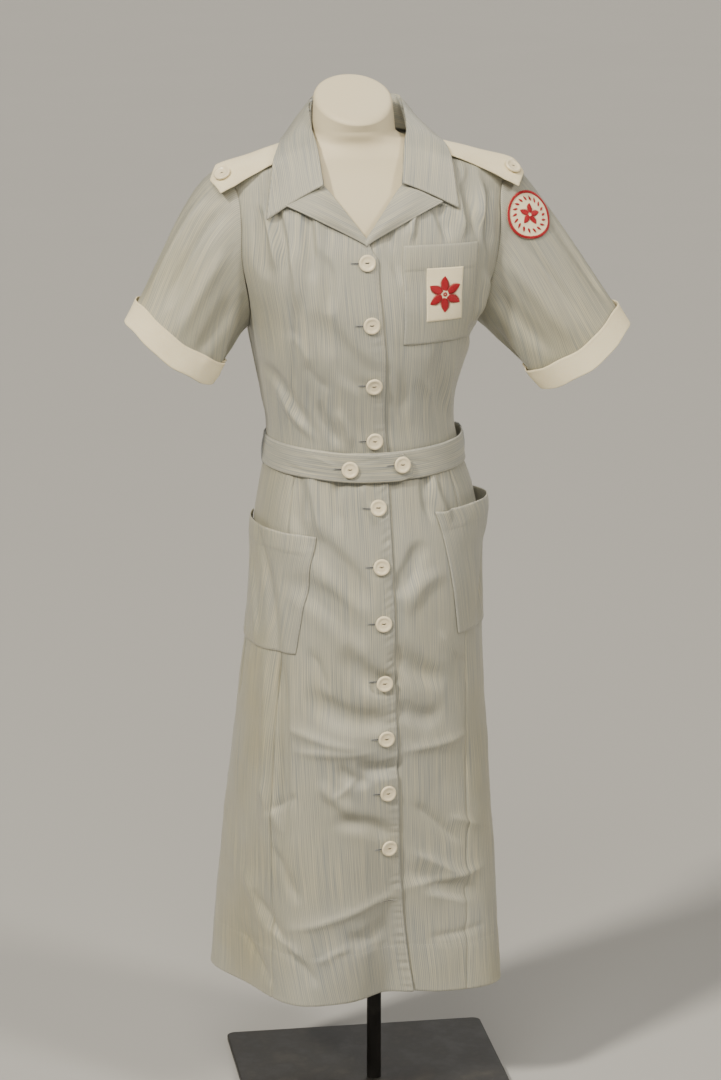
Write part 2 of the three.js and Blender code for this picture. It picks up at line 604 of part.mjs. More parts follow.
// Hip pockets wrap round the sides: angles in degrees from the front
const HIP_POCKETS = [
  { name: "right", side: -1, inTop: 39, inLow: 46, round: 62, top: 787, rise: 8, tall: 152, gape: 5 },
  { name: "left", side: 1, inTop: 37, inLow: 48, round: 58, top: 814, rise: 4, tall: 162, gape: 15 },
];
for (const { name, side, inTop, inLow, round, top, rise, tall, gape } of HIP_POCKETS) {
  const place = (u, v, out) => {
    const angle = side * radians(lerp(inLow, inTop, v) + u * round);
    const z = top - tall + v * (tall + rise * u);
    const stand = gape * smoothstep(v, 0.55, 1) * Math.sin(Math.PI * u ** 1.4);
    return onBody(angle, z, out + 1.1 + CLOTH + stand);
  };
  add(`pocket_hip_${name}`, "stripe", sheet(range(8), range(9), place));
}

// Belt: one strip that passes once round and laps over its own start
const BELT_Z = 877;
const BELT_CLOTH = 2 * CLOTH;
const BELT_START = -17;
const BELT_END = 384;
const BELT_SECTION = { half: 129.8, front: 104.2, back: 99.6, square: 2.2, splay: 0.1 };

function beltPoint(angle, up, out) {
  const { half, front, back, square, splay } = BELT_SECTION;
  const reach = ovalReach(angle, half, front, back, square) + out - splay * up;
  const z = BELT_Z + up;
  return point(body("middle", BELT_Z) + 1 + reach * Math.sin(angle), -reach * Math.cos(angle), z);
}

const beltLap = (degrees) => (BELT_CLOTH + LIFT) * smoothstep(degrees, 318, 340);
const beltPlace = (degrees, v, out) => {
  const point_ = smoothstep(degrees, BELT_END - 8, BELT_END) * 0.75;
  const up = (v - 0.5) * BELT_WIDTH * (1 - (v > 0.5 ? 1 : 0.2) * point_);
  return beltPoint(radians(degrees), up, out + beltLap(degrees));
};
const beltColumns = [...range(50).slice(0, -1).map((t) => lerp(BELT_START, BELT_END - 8, t)), 376, 378, 380, 382, 384];
add("belt", "stripe", sheet([0, 0.5, 1], beltColumns, beltPlace, { out: BELT_CLOTH, thickness: BELT_CLOTH }));

// Thread carriers that hold the belt at the side seams
const LOOP = { wide: 3, tall: 46 };
for (const [name, degrees] of [["right", 270], ["left", 90]]) {
  const place = (u, v, out) => {
    const slack = (v - 0.5) * LOOP.tall;
    const angle = radians(degrees) + ((u - 0.5) * LOOP.wide) / BELT_SECTION.half;
    return beltPoint(angle, slack, out + BELT_CLOTH + SEAM);
  };
  add(`belt_loop_${name}`, "stripe", sheet(range(4), [0, 1], place, { out: CLOTH, thickness: CLOTH }));
}

// Shoulder straps from under the collar, over the shoulder and onto the sleeve head
const STRAP = { near: 88, seam: 168, far: 186, tip: 196, ahead: 46, behind: 3, fall: 0.55, thick: 2, lift: 2.6 };

const strapSurface = (side) => (across, ahead) => {
  const x = body("middle", SHOULDER_Z) + side * Math.min(across, STRAP.seam);
  const past = Math.max(across - STRAP.seam, 0);
  const top = (at) => Math.max(ridgePoint(at, -ahead).z, ridgePoint(at, 0).z - STRAP.fall * Math.abs(ahead));
  const slope = (top(x) - top(x - side * 8)) / 8;
  const drop = Math.max(slope, -0.42) * past - 0.004 * past * past;
  return point(x + side * past, -ahead, top(x) + drop);
};

function onStrap(side) {
  const surface = strapSurface(side);
  return (across, ahead, out) => {
    const normal = normalOf(surface, across, ahead, 1, 1);
    return surface(across, ahead).addScaledVector(normal, Math.sign(normal.z) * (out + STRAP.lift + STRAP.thick));
  };
}

for (const [name, side] of [["right", -1], ["left", 1]]) {
  const place = onStrap(side);
  const strapPlace = (u, v, out) => {
    const far = lerp(STRAP.far, STRAP.tip, 1 - Math.abs(2 * v - 1));
    return place(lerp(STRAP.near, far, u), lerp(STRAP.behind, STRAP.ahead, v), out);
  };
  add(`epaulette_${name}`, "white", sheet(range(6), range(12), strapPlace, { thickness: STRAP.thick }));
}

// Buttons: a lathe-turned disc with a raised rim, laid on the cloth
function button(centre, normal) {
  const radius = BUTTON_DIAMETER / 2;
  const profile = [
    [0, 0],
    [radius, 0],
    [radius, BUTTON_THICKNESS - 1],
    [radius - 1.6, BUTTON_THICKNESS],
    [radius - 3.2, BUTTON_THICKNESS - 0.9],
    [0, BUTTON_THICKNESS - 0.9],
  ].map(([r, h]) => new THREE.Vector2(r, h));
  const geometry = new THREE.LatheGeometry(profile, 14);
  const turn = new THREE.Quaternion().setFromUnitVectors(point(0, 1, 0), normal);
  geometry.applyQuaternion(turn);
  geometry.translate(centre.x, centre.y, centre.z);
  return geometry;
}

const BUTTON_CLEAR = 0.6; // shank gap under a button
BUTTON_HEIGHTS.forEach((z, index) => {
  const angle = openingAngle(z);
  const normal = normalOf(bodyPoint, angle, z, ANGLE_STEP, HEIGHT_STEP);
  const name = `button_front_${String(index + 1).padStart(2, "0")}`;
  add(name, "button", button(onBody(angle, z, BUTTON_CLEAR), normal));
});

for (const [name, x, up] of [["1", -47, -2], ["2", 17, 2]]) {
  const angle = Math.atan2(x - body("middle", BELT_Z) - 1, BELT_SECTION.front);
  const out = BELT_CLOTH + beltLap(360) + BUTTON_CLEAR;
  const normal = normalOf((a, b) => beltPoint(a, b, 0), angle, up, ANGLE_STEP, HEIGHT_STEP);
  add(`button_belt_${name}`, "button", button(beltPoint(angle, up, out), normal));
}
for (const [name, side] of [["right", -1], ["left", 1]]) {
  const surface = strapSurface(side);
  const normal = normalOf(surface, 181, 27, 9, 9);
  normal.multiplyScalar(Math.sign(normal.z));
  add(`button_epaulette_${name}`, "button", button(onStrap(side)(181, 27, 1.1), normal));
}

// The form: a whole torso with a neck, cut flat and tilted at the top
const form = (name, z) => column(FORM, "z", name, z);

function formPoint(angle, z, top) {
  const reach = ovalReach(angle, form("half", z), form("front", z), form("back", z), form("square", z));
  const y = -reach * Math.cos(angle);
  const cap = NECK_CAP.z + y * Math.tan(radians(NECK_CAP.tilt));
  return point(form("middle", z) + reach * Math.sin(angle), y, top ? cap : z);
}

const formHeights = [640, 690, 762, 800, 840, 880, 918, 952, 985, 1022, 1060, 1098, 1134, 1160, 1180, 1198];
formHeights.push(1212, 1226, 1240, 1252, 1262, 1271, 1280, 1290);
const formRing = range(30).slice(0, -1).map((t) => 2 * Math.PI * t);
const formRows = formHeights.map((z) => formRing.map((angle) => formPoint(angle, z, false)));
formRows.push(formRing.map((angle) => formPoint(angle, 1340, true)));
const flat = (row) => {
  const middle = row.reduce((sum, place) => sum.add(place), point(0, 0, 0)).divideScalar(row.length);
  return row.map(() => middle);
};
const formGrid = [flat(formRows[0]), ...formRows, flat(formRows[formRows.length - 1])];

function capped(rows) {
  const count = rows[0].length;
  const points = [rows[0][0], ...rows.slice(1, -1).flat(), rows[rows.length - 1][0]];
  const id = (i, j) => 1 + i * count + (j % count);
  const triangles = [];
  for (let j = 0; j < count; j += 1) {
    triangles.push([0, id(0, j + 1), id(0, j)]);
    for (let i = 0; i < rows.length - 3; i += 1) {
      triangles.push([id(i, j), id(i, j + 1), id(i + 1, j + 1)], [id(i, j), id(i + 1, j + 1), id(i + 1, j)]);
    }
    triangles.push([points.length - 1, id(rows.length - 3, j), id(rows.length - 3, j + 1)]);
  }
  return solid(points, triangles);
}

add("form_torso", "form", capped(formGrid));

// Stand
const poleBottom = BASE_THICKNESS + 0.1;
const poleLength = FORM_BOTTOM_Z - 0.1 - poleBottom;
const pole = new THREE.CylinderGeometry(POLE_DIAMETER / 2, POLE_DIAMETER / 2, poleLength, 18);
pole.rotateX(Math.PI / 2);
pole.translate(0, 0, poleBottom + poleLength / 2);
add("form_pole", "metal", pole);
const base = new THREE.BoxGeometry(BASE_SIDE, BASE_SIDE, BASE_THICKNESS);
base.translate(0, 0, BASE_THICKNESS / 2);
add("form_base", "metal", base);

export default dress;
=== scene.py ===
"""Looks of a nurse uniform dress on its form: striped cotton, white trimmings, buttons and sewing.

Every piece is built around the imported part, in the same frame. Tables and surfaces are in
millimetres, the front faces -Y and the wearer's left is +X. Meshes are written in metres.
"""

import math

import bpy
import numpy as np
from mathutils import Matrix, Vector


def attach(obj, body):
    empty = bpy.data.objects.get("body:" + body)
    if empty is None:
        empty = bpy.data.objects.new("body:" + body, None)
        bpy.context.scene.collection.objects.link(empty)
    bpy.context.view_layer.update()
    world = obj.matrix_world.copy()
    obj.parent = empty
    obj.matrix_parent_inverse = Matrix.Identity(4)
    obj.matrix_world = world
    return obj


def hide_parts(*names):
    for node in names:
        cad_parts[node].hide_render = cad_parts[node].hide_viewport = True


bl_info = {
    "name": "Nurse Uniform Dress",
    "version": (1, 0, 0),
    "blender": (4, 5, 0),
    "location": "View3D > Sidebar > Dress",
    "description": "Builds the cloth, trimmings, sewing and stage of a uniform dress on a form",
    "category": "Object",
}

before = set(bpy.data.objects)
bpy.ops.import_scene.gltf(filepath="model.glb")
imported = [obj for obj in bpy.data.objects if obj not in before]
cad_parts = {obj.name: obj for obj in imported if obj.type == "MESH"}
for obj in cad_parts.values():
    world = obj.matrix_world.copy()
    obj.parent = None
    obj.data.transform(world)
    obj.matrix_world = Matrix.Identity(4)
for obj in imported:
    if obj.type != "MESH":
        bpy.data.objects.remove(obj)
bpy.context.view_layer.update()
MM = 0.001
TAU = 2 * math.pi

# Thickness of the cloth, gap between layers, gap at a seam, then heights and widths
CLOTH = 1.2
LIFT = 0.7
SEAM = 0.3
HEM_Z = 165
HEM_DEPTH = 66
WAIST_Z = 880
BREAK_Z = 1158
NECK_Z = 1276
ARMPIT_Z = 1042
SHOULDER_Z = 1243
ARMHOLE_HALF_DEPTH = 56
OVERLAP = 14
UNDERLAP = 24
GORE_ANGLE = 55
BACK_SEAM_ANGLE = 118
BELT_WIDTH = 35
CUFF_WIDTH = 31
CUFF_TURN_IN = 22
ALL_SIDES = ("left", "right", "top", "bottom")

# Over the form, troughs stop at the deepest. From these heights down the skirt hangs clear of it
DEEPEST = 6.0
CLEAR_LOW_Z = 620
CLEAR_HIGH_Z = 700
SOFT_DEPTH = 1.4
PRESSED_DEPTH = 1.15
MM_PER_DEGREE = 2.2
MEAN_RADIUS = 125
# Rim of a cut edge as a share of the thickness, and how far in from it the cloth is worn
RIM_ROUND = 0.45
WORN_DEPTH = 2.2

# Sections of the dress body: height, middle, half width, front, back, squareness, buttoned line
BODY_ROWS = (
    (150, -28, 188, 128, 150, 2.2, 46),
    (300, -25, 182, 126, 145, 2.2, 30),
    (470, -21, 169, 126, 138, 2.2, 19),
    (630, -15, 154, 126, 132, 2.2, 7),
    (700, -12, 149, 125, 129, 2.2, 3),
    (762, -11, 147, 120, 123, 2.2, 0),
    (826, -12, 138, 109, 109, 2.2, -1),
    (880, -16, 125, 100, 94, 2.2, 2),
    (918, -20, 120, 101, 89, 2.2, 3),
    (952, -22, 124, 106, 92, 2.2, 3),
    (1022, -18, 141, 119, 105, 2.3, -2),
    (1060, -16, 150, 119, 111, 2.4, -7),
    (1134, -14, 174, 108, 113, 2.6, -13),
    (1180, -12, 182, 93, 104, 2.5, -11),
    (1219, -12, 184, 75, 88, 2.3, -11),
    (1243, -13, 180, 64, 77, 2.2, -11),
    (1258, -16, 134, 59, 69, 2.1, -10),
    (1276, -22, 74, 54, 59, 2.0, -4),
)

# Folds the skirt hangs in: degrees round from the front, width, depth at the hem, height of its top
SKIRT_FOLDS = (
    (21, 27, -40, 660),
    (-37, 13, 6, 600),
    (-76, 24, -38, 620),
    (-113, 17, 15, 560),
    (67, 14, 19, 620),
    (100, 15, -16, 560),
    (135, 14, 12, 600),
    (163, 12, -14, 560),
    (-168, 13, 11, 600),
    (-142, 12, -13, 560),
)

# Gathers under the shoulder seams: x from the section's middle, width, depth, length
GATHERS = (
    (-132, 6, 2.4, 90),
    (-112, 6, 3.4, 120),
    (-92, 6, 3.8, 150),
    (-72, 6, 3.4, 170),
    (72, 6, 3.0, 130),
    (92, 6, 3.4, 120),
    (112, 6, 3.6, 120),
    (132, 6, 2.8, 110),
)

# Creases of the fronts, as x, z at each end, width and depth. A trough has a negative depth.
FRONT_CREASES = (
    (-106, 1206, -92, 1120, 9, -3.6),
    (-162, 1196, -146, 1122, 11, -2.8),
    (-134, 1212, -128, 1130, 8, -2.4),
    (-146, 1206, -138, 1130, 7, 1.8),
    (-120, 1160, -112, 1080, 9, 1.8),
    (-88, 1150, -70, 1080, 12, -2.0),
    (-117, 1108, -114, 952, 4, -1.0),
    (-92, 1066, -15, 992, 18, -2.8),
    (-66, 1022, -26, 972, 14, -2.4),
    (-150, 1000, -98, 936, 9, -2.4),
    (-136, 976, -92, 912, 7, 1.8),
    (-84, 960, -66, 904, 8, -2.0),
    (-58, 950, -48, 902, 8, 1.4),
    (4, 1186, 9, 1112, 9, -2.2),
    (33, 1206, 32, 1162, 7, 2.2),
    (56, 1212, 80, 1164, 10, -4.0),
    (92, 1226, 92, 1162, 7, 2.6),
    (104, 1230, 117, 1160, 8, -3.4),
    (121, 1226, 122, 1160, 7, 2.6),
    (134, 1214, 134, 1140, 7, -2.4),
    (12, 1040, 22, 940, 12, -2.0),
    (66, 1030, 72, 926, 10, -2.4),
    (84, 1012, 88, 924, 8, 1.8),
    (126, 1116, 122, 1050, 8, 3.0),
    (112, 1050, 122, 1010, 9, -2.6),
    (-112, 868, -108, 790, 9, -1.8),
    (-90, 868, -88, 780, 9, 1.6),
    (-60, 866, -64, 800, 10, -1.6),
    (-28, 862, -20, 806, 9, 1.2),
    (46, 868, 58, 806, 8, -2.6),
    (60, 866, 74, 800, 8, 1.8),
    (-96, 800, -36, 700, 20, -3.6),
    (-108, 736, -36, 650, 20, -3.6),
    (4, 720, 48, 772, 14, -3.2),
    (18, 696, 66, 740, 16, 1.8),
    (-60, 640, 6, 588, 20, -3.6),
    (-104, 580, 4, 540, 21, -3.6),
    (10, 646, 64, 584, 20, -2.8),
    (8, 556, 70, 552, 18, -2.2),
    (-40, 492, 14, 474, 14, -2.8),
    (-66, 490, -28, 460, 12, -2.0),
    (-70, 420, 8, 388, 14, -2.6),
    (-156, 640, -150, 340, 9, 2.0),
    (-138, 650, -132, 380, 8, -2.0),
    (-84, 470, -52, 420, 12, 1.6),
    (20, 330, 120, 300, 18, -1.8),
    (-60, 250, 0, 262, 16, -1.6),
)

# Sharp lines where the dress was folded or crushed, in the same form
PRESSED_CREASES = (
    (-130, 535, -34, 512, 15, 1.7),
    (-118, 505, -16, 508, 14, 1.6),
    (14, 502, 108, 517, 15, 1.8),
    (32, 430, 98, 374, 13, -1.9),
    (82, 405, 128, 386, 12, 1.6),
    (32, 360, 106, 322, 13, 1.7),
    (26, 312, 132, 332, 14, 1.9),
    (-128, 268, 22, 307, 15, 1.8),
    (-72, 448, -40, 472, 12, 1.3),
    (-150, 376, -116, 308, 12, -1.7),
    (-168, 302, -124, 236, 13, -2.0),
    (-152, 262, -108, 224, 12, 1.7),
    (-188, 248, -146, 184, 12, -1.9),
    (-132, 238, -92, 194, 12, -1.5),
    (-178, 334, -156, 248, 11, 1.6),
    (-160, 470, -138, 392, 12, 1.5),
    (-150, 420, -120, 450, 11, -1.4),
    (50, 302, 112, 284, 11, 1.3),
    (58, 238, 130, 252, 12, -1.4),
    (-96, 226, -50, 240, 11, 1.2),
    (-100, 640, -76, 590, 12, -1.3),
    (66, 660, 96, 620, 12, 1.3),
    (-104, 1008, -74, 976, 12, -1.3),
    (-120, 1048, -96, 1010, 12, 1.3),
    (34, 1000, 62, 960, 12, 1.2),
)

# Creases elsewhere, as degrees round from the front and z at each end
SIDE_CREASES = (
    (-72, 790, -58, 640, 10, -3.2),
    (-84, 760, -74, 640, 9, 2.0),
    (78, 770, 68, 650, 10, -2.4),
    (-100, 700, -88, 560, 12, -2.0),
    (110, 720, 96, 560, 12, -2.2),
    (140, 868, 150, 760, 9, -2.0),
    (160, 868, 165, 740, 9, 1.6),
    (186, 868, 184, 750, 9, -2.0),
    (206, 868, 200, 760, 9, 1.8),
    (224, 868, 212, 770, 9, -2.0),
    (150, 1000, 168, 900, 12, -2.4),
    (205, 1010, 190, 900, 12, -2.4),
    (120, 1010, 132, 910, 9, 2.2),
    (236, 1010, 226, 915, 9, 2.2),
    (135, 1150, 160, 1060, 13, -2.2),
    (225, 1150, 198, 1060, 13, -2.2),
    (170, 640, 188, 520, 16, -2.2),
    (150, 420, 205, 398, 5, 1.3),
    (100, 400, 140, 440, 6, -1.6),
    (215, 380, 255, 420, 6, -1.6),
    (95, 1000, 104, 910, 8, -2.6),
    (265, 1000, 254, 910, 8, -2.6),
)

# Sleeve ends: side, out, forward, height, tilt, half width, depth, swell of the head
SLEEVES = {
    "right": (-1, 252, 42, 1021, 53, 67, 43, 0.68),
    "left": (1, 276, 42, 1000, 55, 69, 43, 0.38),
}
SLEEVE_DROOP = 0.27
# Soft folds of the sleeves: turn and share of the length at each end, width in turn, depth
SLEEVE_CREASES = {
    "right": (
        (0.55, 0.1, 0.35, 0.9, 0.16, 2.0),
        (0.95, 0.05, 0.8, 0.85, 0.17, -2.6),
        (1.5, 0.15, 1.25, 0.95, 0.16, 2.2),
        (2.1, 0.2, 1.75, 0.9, 0.2, -2.6),
        (2.6, 0.3, 3.0, 0.95, 0.25, -3.0),
        (4.4, 0.1, 4.1, 0.9, 0.2, -2.2),
        (5.2, 0.05, 5.0, 0.8, 0.2, 2.0),
    ),
    "left": (
        (0.5, 0.35, 0.4, 0.95, 0.17, -2.0),
        (1.35, 0.05, 1.1, 0.8, 0.14, -2.6),
        (1.75, 0.1, 1.45, 0.9, 0.16, 2.6),
        (2.2, 0.1, 1.9, 0.8, 0.2, -3.0),
        (2.7, 0.25, 3.1, 0.95, 0.25, -2.8),
        (4.3, 0.1, 4.0, 0.9, 0.2, -2.2),
        (5.3, 0.05, 5.1, 0.8, 0.2, 2.0),
    ),
}

# The collar's middle, how far its right tip sits back, and its two layers
COLLAR_MIDDLE = -26
RIGHT_TIP_RISE = 6
COLLAR_CLOTH = 2 * CLOTH
# Half of the collar, front end to centre back: turn, shift, foot, roll, edge (across, deep, clear)
COLLAR_ROWS = (
    (0, -1, 54, -75, 1225, 49, -77, 1230, 117, -77, 7.4),
    (0.18, 1, 57, -48, 1266, 54, -46, 1271, 110, -53, 10.5),
    (0.36, 4, 65, -20, 1283, 60, -10, 1293, 97, -16, 9),
    (0.54, 6, 67, 6, 1283, 59, 27, 1311, 90, 22, 7),
    (0.72, 10, 56, 36, 1281, 54, 56, 1320, 78, 50, 7),
    (0.86, 9, 34, 56, 1281, 32, 71, 1323, 46, 67, 10),
    (1, 9, 0, 63, 1281, 0, 76, 1324, 0, 71, 13),
)

# The form: height, middle, half width, front, back, squareness
FORM_ROWS = (
    (640, -9, 128, 100, 108, 2.1),
    (762, -10, 133, 105, 110, 2.1),
    (826, -12, 125, 97, 98, 2.1),
    (890, -17, 113, 90, 84, 2.1),
    (918, -20, 111, 91, 81, 2.1),
    (952, -22, 115, 96, 85, 2.1),
    (1022, -18, 133, 111, 99, 2.2),
    (1060, -17, 140, 110, 104, 2.3),
    (1134, -16, 152, 97, 106, 2.4),
    (1180, -14, 160, 83, 96, 2.3),
    (1219, -13, 165, 66, 79, 2.2),
    (1240.6, -13, 156, 57, 70, 2.1),
    (1255.6, -16, 132, 52, 58, 2.1),
    (1274, -22, 70, 47, 53, 2.0),
    (1287, -27, 52, 51, 48, 2.0),
    (1350, -28, 49, 56, 48, 2.0),
)
NECK_CAP_Z = 1330
NECK_CAP_TILT = 25
# Rounded rim of the neck cap: share of the way to its middle, lift
NECK_RIM = (
    (0.0, -6.0),
    (0.012, -4.2),
    (0.035, -2.5),
    (0.07, -1.2),
    (0.12, -0.4),
    (0.2, 0.0),
    (0.5, 0.4),
    (0.95, 0.5),
)
FORM_SIDES = 112
POLE_SIDES = 48
POLE_RADIUS = 9.5
POLE_FOOT_Z = 8.1
POLE_TOP_Z = 639.9
BASE_HALF = 178.0
BASE_CORNER = 10.0
BASE_BEVEL = 1.2
BASE_TALL = 8.0

# Buttons, with the ends of the buttonholes along the slit
BUTTON_HEIGHTS = (1136, 1060, 982, 909, 825, 751, 678, 599, 524, 449, 372)
EMPTY_BUTTONHOLE_Z = 298
BUTTON_CLEAR = 0.6
BUTTON_FACE = 2.25
BUTTON_HOLE = 1.7
BUTTON_HOLE_DEPTH = 1.7
FRONT_HOLE = (-19.0, 2.0)
EMPTY_HOLE = (-15.0, 6.0)
BELT_HOLE = (-18.0, 2.0)
# Half profile of a button outside its flat face, radius and height, for the widest radius given
BUTTON_WIDEST = 11.25
BUTTON_PROFILE = (
    (6.0, 2.3),
    (7.0, 2.55),
    (7.7, 3.0),
    (8.4, 3.3),
    (9.2, 3.4),
    (10.0, 3.32),
    (10.6, 3.0),
    (11.0, 2.5),
    (11.25, 1.8),
    (11.2, 1.1),
    (10.8, 0.45),
    (10.0, 0.1),
    (6.0, 0.0),
    (0.3, 0.0),
)

# Belt, in degrees round from the front
BELT_Z = 877
BELT_CLOTH = 2 * CLOTH
BELT_START = -17
BELT_END = 384
BELT_HALF = 126.6
BELT_FRONT = 102.4
BELT_BACK = 96.8
BELT_RISE = 7
BELT_SPLAY = 0.1
BELT_BUTTONS = ((-47, -2), (17, 2))
# Creases of the belt, as degrees round and height on the belt at each end, width and depth
BELT_CREASES = (
    (338, 5, 366, 12, 2.2, -0.7),
    (346, -8, 372, -3, 2.4, -0.6),
    (318, 8, 336, 2, 2.4, 0.6),
    (352, 14, 381, 10, 2.0, 0.6),
    (300, -6, 322, -12, 3.0, -0.7),
    (18, 8, 40, -4, 3.0, -0.6),
    (150, 6, 210, -2, 3.0, -0.6),
)
LOOP_TALL = 46

# Lapels
BREAK_TURN = 22
ROLL_TOP_ACROSS = 51
ROLL_TOP_Z = 1230
LAPEL_LIFT = 1.9
LAPEL_TIP_ACROSS = 101
LAPEL_TIP_Z = 1205

# Shoulder straps
STRAP_NEAR = 88
STRAP_SEAM = 168
STRAP_FAR = 186
STRAP_TIP = 196
STRAP_AHEAD = 46
STRAP_BEHIND = 3
STRAP_FALL_NEAR = 11
STRAP_FALL_FAR = 13
STRAP_THICK = 2
STRAP_LIFT = 2.6
STRAP_BUTTON = (181, 27)

# Hip pockets: side, inner angle at the top and foot, angle round, top, rise, height, gape
HIP_POCKETS = {
    "right": (-1, 39, 46, 62, 787, 8, 152, 5),
    "left": (1, 37, 48, 58, 814, 4, 162, 15),
}
# Chest pocket: x of both sides from the section's middle and height, at the foot and the top
CHEST_LOW = (35, 127, 1034)
CHEST_TOP = (32, 129, 1155)
CHEST_START = 33
CHEST_WIDE = 95
CHEST_BAND = 31
HIP_BAND = 25
# Badges: sides and heights on the chest pocket; turn, share of the length and radius on the sleeve
BADGE_CLOTH = 0.9
BADGE_BOX = (62, 108, 1062, 1127)
ROUND_BADGE = (0.78, 0.29, 31)
BADGE_THREAD = 0.72


COLOUR_RANGE = {"size": 3, "min": 0.0, "max": 1.0}


class DressCloth(bpy.types.PropertyGroup):
    """Sizes and colours of the cotton."""

    stripe_period: bpy.props.FloatProperty(
        name="Stripe repeat",
        description="Width of one dark and one light stripe",
        default=0.0024,
        min=0.001,
        precision=4,
        unit="LENGTH",
    )
    stripe_dark: bpy.props.FloatVectorProperty(
        name="Dark stripe",
        description="Blue grey yarn of the stripes",
        default=(0.205, 0.236, 0.262),
        subtype="COLOR",
        **COLOUR_RANGE,
    )
    stripe_light: bpy.props.FloatVectorProperty(
        name="Light stripe",
        description="Undyed yarn between the stripes",
        default=(0.495, 0.473, 0.37),
        subtype="COLOR",
        **COLOUR_RANGE,
    )
    age_tint: bpy.props.FloatVectorProperty(
        name="Age tint",
        description="Colour that old cotton has yellowed to",
        default=(0.93, 0.85, 0.60),
        subtype="COLOR",
        **COLOUR_RANGE,
    )
    white_cotton: bpy.props.FloatVectorProperty(
        name="White cotton",
        description="Cuffs and shoulder straps",
        default=(0.92, 0.82, 0.55),
        subtype="COLOR",
        **COLOUR_RANGE,
    )
    crease_share: bpy.props.FloatProperty(
        name="Creases",
        description="Depth of the creases as a share of those in the tables",
        default=2.0,
        min=0.0,
        max=2.5,
        subtype="FACTOR",
    )


class DressTrim(bpy.types.PropertyGroup):
    """Sizes and colours of buttons, sewing and badges."""

    button_diameter: bpy.props.FloatProperty(
        name="Button width",
        description="Diameter of the buttons",
        default=0.0214,
        min=0.01,
        precision=4,
        unit="LENGTH",
    )
    stitch_length: bpy.props.FloatProperty(
        name="Stitch",
        description="Length of one stitch that shows",
        default=0.0023,
        min=0.001,
        precision=4,
        unit="LENGTH",
    )
    thread_width: bpy.props.FloatProperty(
        name="Thread",
        description="Thickness of the sewing thread",
        default=0.00042,
        min=0.0001,
        precision=5,
        unit="LENGTH",
    )
    button_colour: bpy.props.FloatVectorProperty(
        name="Button",
        description="Colour of the buttons",
        default=(0.80, 0.72, 0.52),
        subtype="COLOR",
        **COLOUR_RANGE,
    )
    badge_red: bpy.props.FloatVectorProperty(
        name="Badge thread",
        description="Embroidery thread of the badges",
        default=(0.42, 0.012, 0.022),
        subtype="COLOR",
        **COLOUR_RANGE,
    )


class DressStage(bpy.types.PropertyGroup):
    """Floor, light and the form's colour."""

    floor_colour: bpy.props.FloatVectorProperty(
        name="Floor",
        description="Colour of the floor",
        default=(0.43, 0.43, 0.425),
        subtype="COLOR",
        **COLOUR_RANGE,
    )
    key_power: bpy.props.FloatProperty(
        name="Key light",
        description="Strength of the large soft light",
        default=3.35,
        min=0.0,
        subtype="FACTOR",
    )
    form_colour: bpy.props.FloatVectorProperty(
        name="Form",
        description="Painted skin of the dress form",
        default=(0.70, 0.62, 0.43),
        subtype="COLOR",
        **COLOUR_RANGE,
    )


# Small helpers for numbers and curves


def smooth(value, low, high):
    t = np.clip((value - low) / (high - low), 0, 1)
    return t * t * (3 - 2 * t)


def mix(a, b, t):
    return a + (b - a) * t


def hill(away, wide):
    return np.exp(-((away / wide) ** 2))


def unit(vectors):
    return vectors / np.maximum(np.linalg.norm(vectors, axis=-1, keepdims=True), 1e-9)


def stack(x, y, z):
    return np.stack(np.broadcast_arrays(x, y, z), axis=-1).astype(float)


def hermite(t, start, leave, end, arrive):
    """Cubic from start to end with the given slopes at both."""
    t2, t3 = t * t, t * t * t
    return (
        (2 * t3 - 3 * t2 + 1) * start
        + (t3 - 2 * t2 + t) * leave
        + (3 * t2 - 2 * t3) * end
        + (t3 - t2) * arrive
    )


def curve_of(stations, values):
    """Smooth curve through a table's rows that never overshoots them."""
    stations = np.asarray(stations, float)
    values = np.asarray(values, float)
    slope = np.diff(values) / np.diff(stations)
    before, after = slope[:-1], slope[1:]
    both = before * after
    total = np.where(both > 0, before + after, 1.0)
    inner = np.where(both > 0, 2 * both / total, 0.0)
    tangent = np.concatenate([slope[:1], inner, slope[-1:]])

    def value(at):
        at = np.clip(at, stations[0], stations[-1])
        i = np.clip(np.searchsorted(stations, at, side="right") - 1, 0, len(stations) - 2)
        span = stations[i + 1] - stations[i]
        t = (at - stations[i]) / span
        return hermite(t, values[i], span * tangent[i], values[i + 1], span * tangent[i + 1])

    return value


def table_of(rows, names):
    columns = list(zip(*rows))
    return {name: curve_of(columns[0], values) for name, values in zip(names, columns[1:])}


BODY = table_of(BODY_ROWS, ("middle", "half", "front", "back", "square", "opening"))
FORM = table_of(FORM_ROWS, ("middle", "half", "front", "back", "square"))
COLLAR_NAMES = "shift foot_x foot_y foot_z roll_x roll_y roll_z edge_x edge_y edge_z".split()
COLLAR = table_of(COLLAR_ROWS, COLLAR_NAMES)


# The dress body


def oval_reach(angle, half, front, back, square):
    """Distance from the middle to an oval with a depth of its own in front and behind."""
    depth = np.where(np.cos(angle) > 0, front, back)
    across = np.abs(np.sin(angle)) / half
    along = np.abs(np.cos(angle)) / depth
    return (across**square + along**square) ** (-1 / square)


def plain_reach(angle, z):
    sizes = [BODY[name](z) for name in ("half", "front", "back", "square")]
    return oval_reach(angle, *sizes)


def skirt_folds(angle, z):
    total = 0
    for at, wide, depth, top in SKIRT_FOLDS:
        grown = np.clip((top - z) / (top - HEM_Z), 0, 1.05)
        away = np.mod(angle - math.radians(at) + math.pi, TAU) - math.pi
        total = total + depth * grown**1.5 * hill(away, math.radians(wide))
    return total


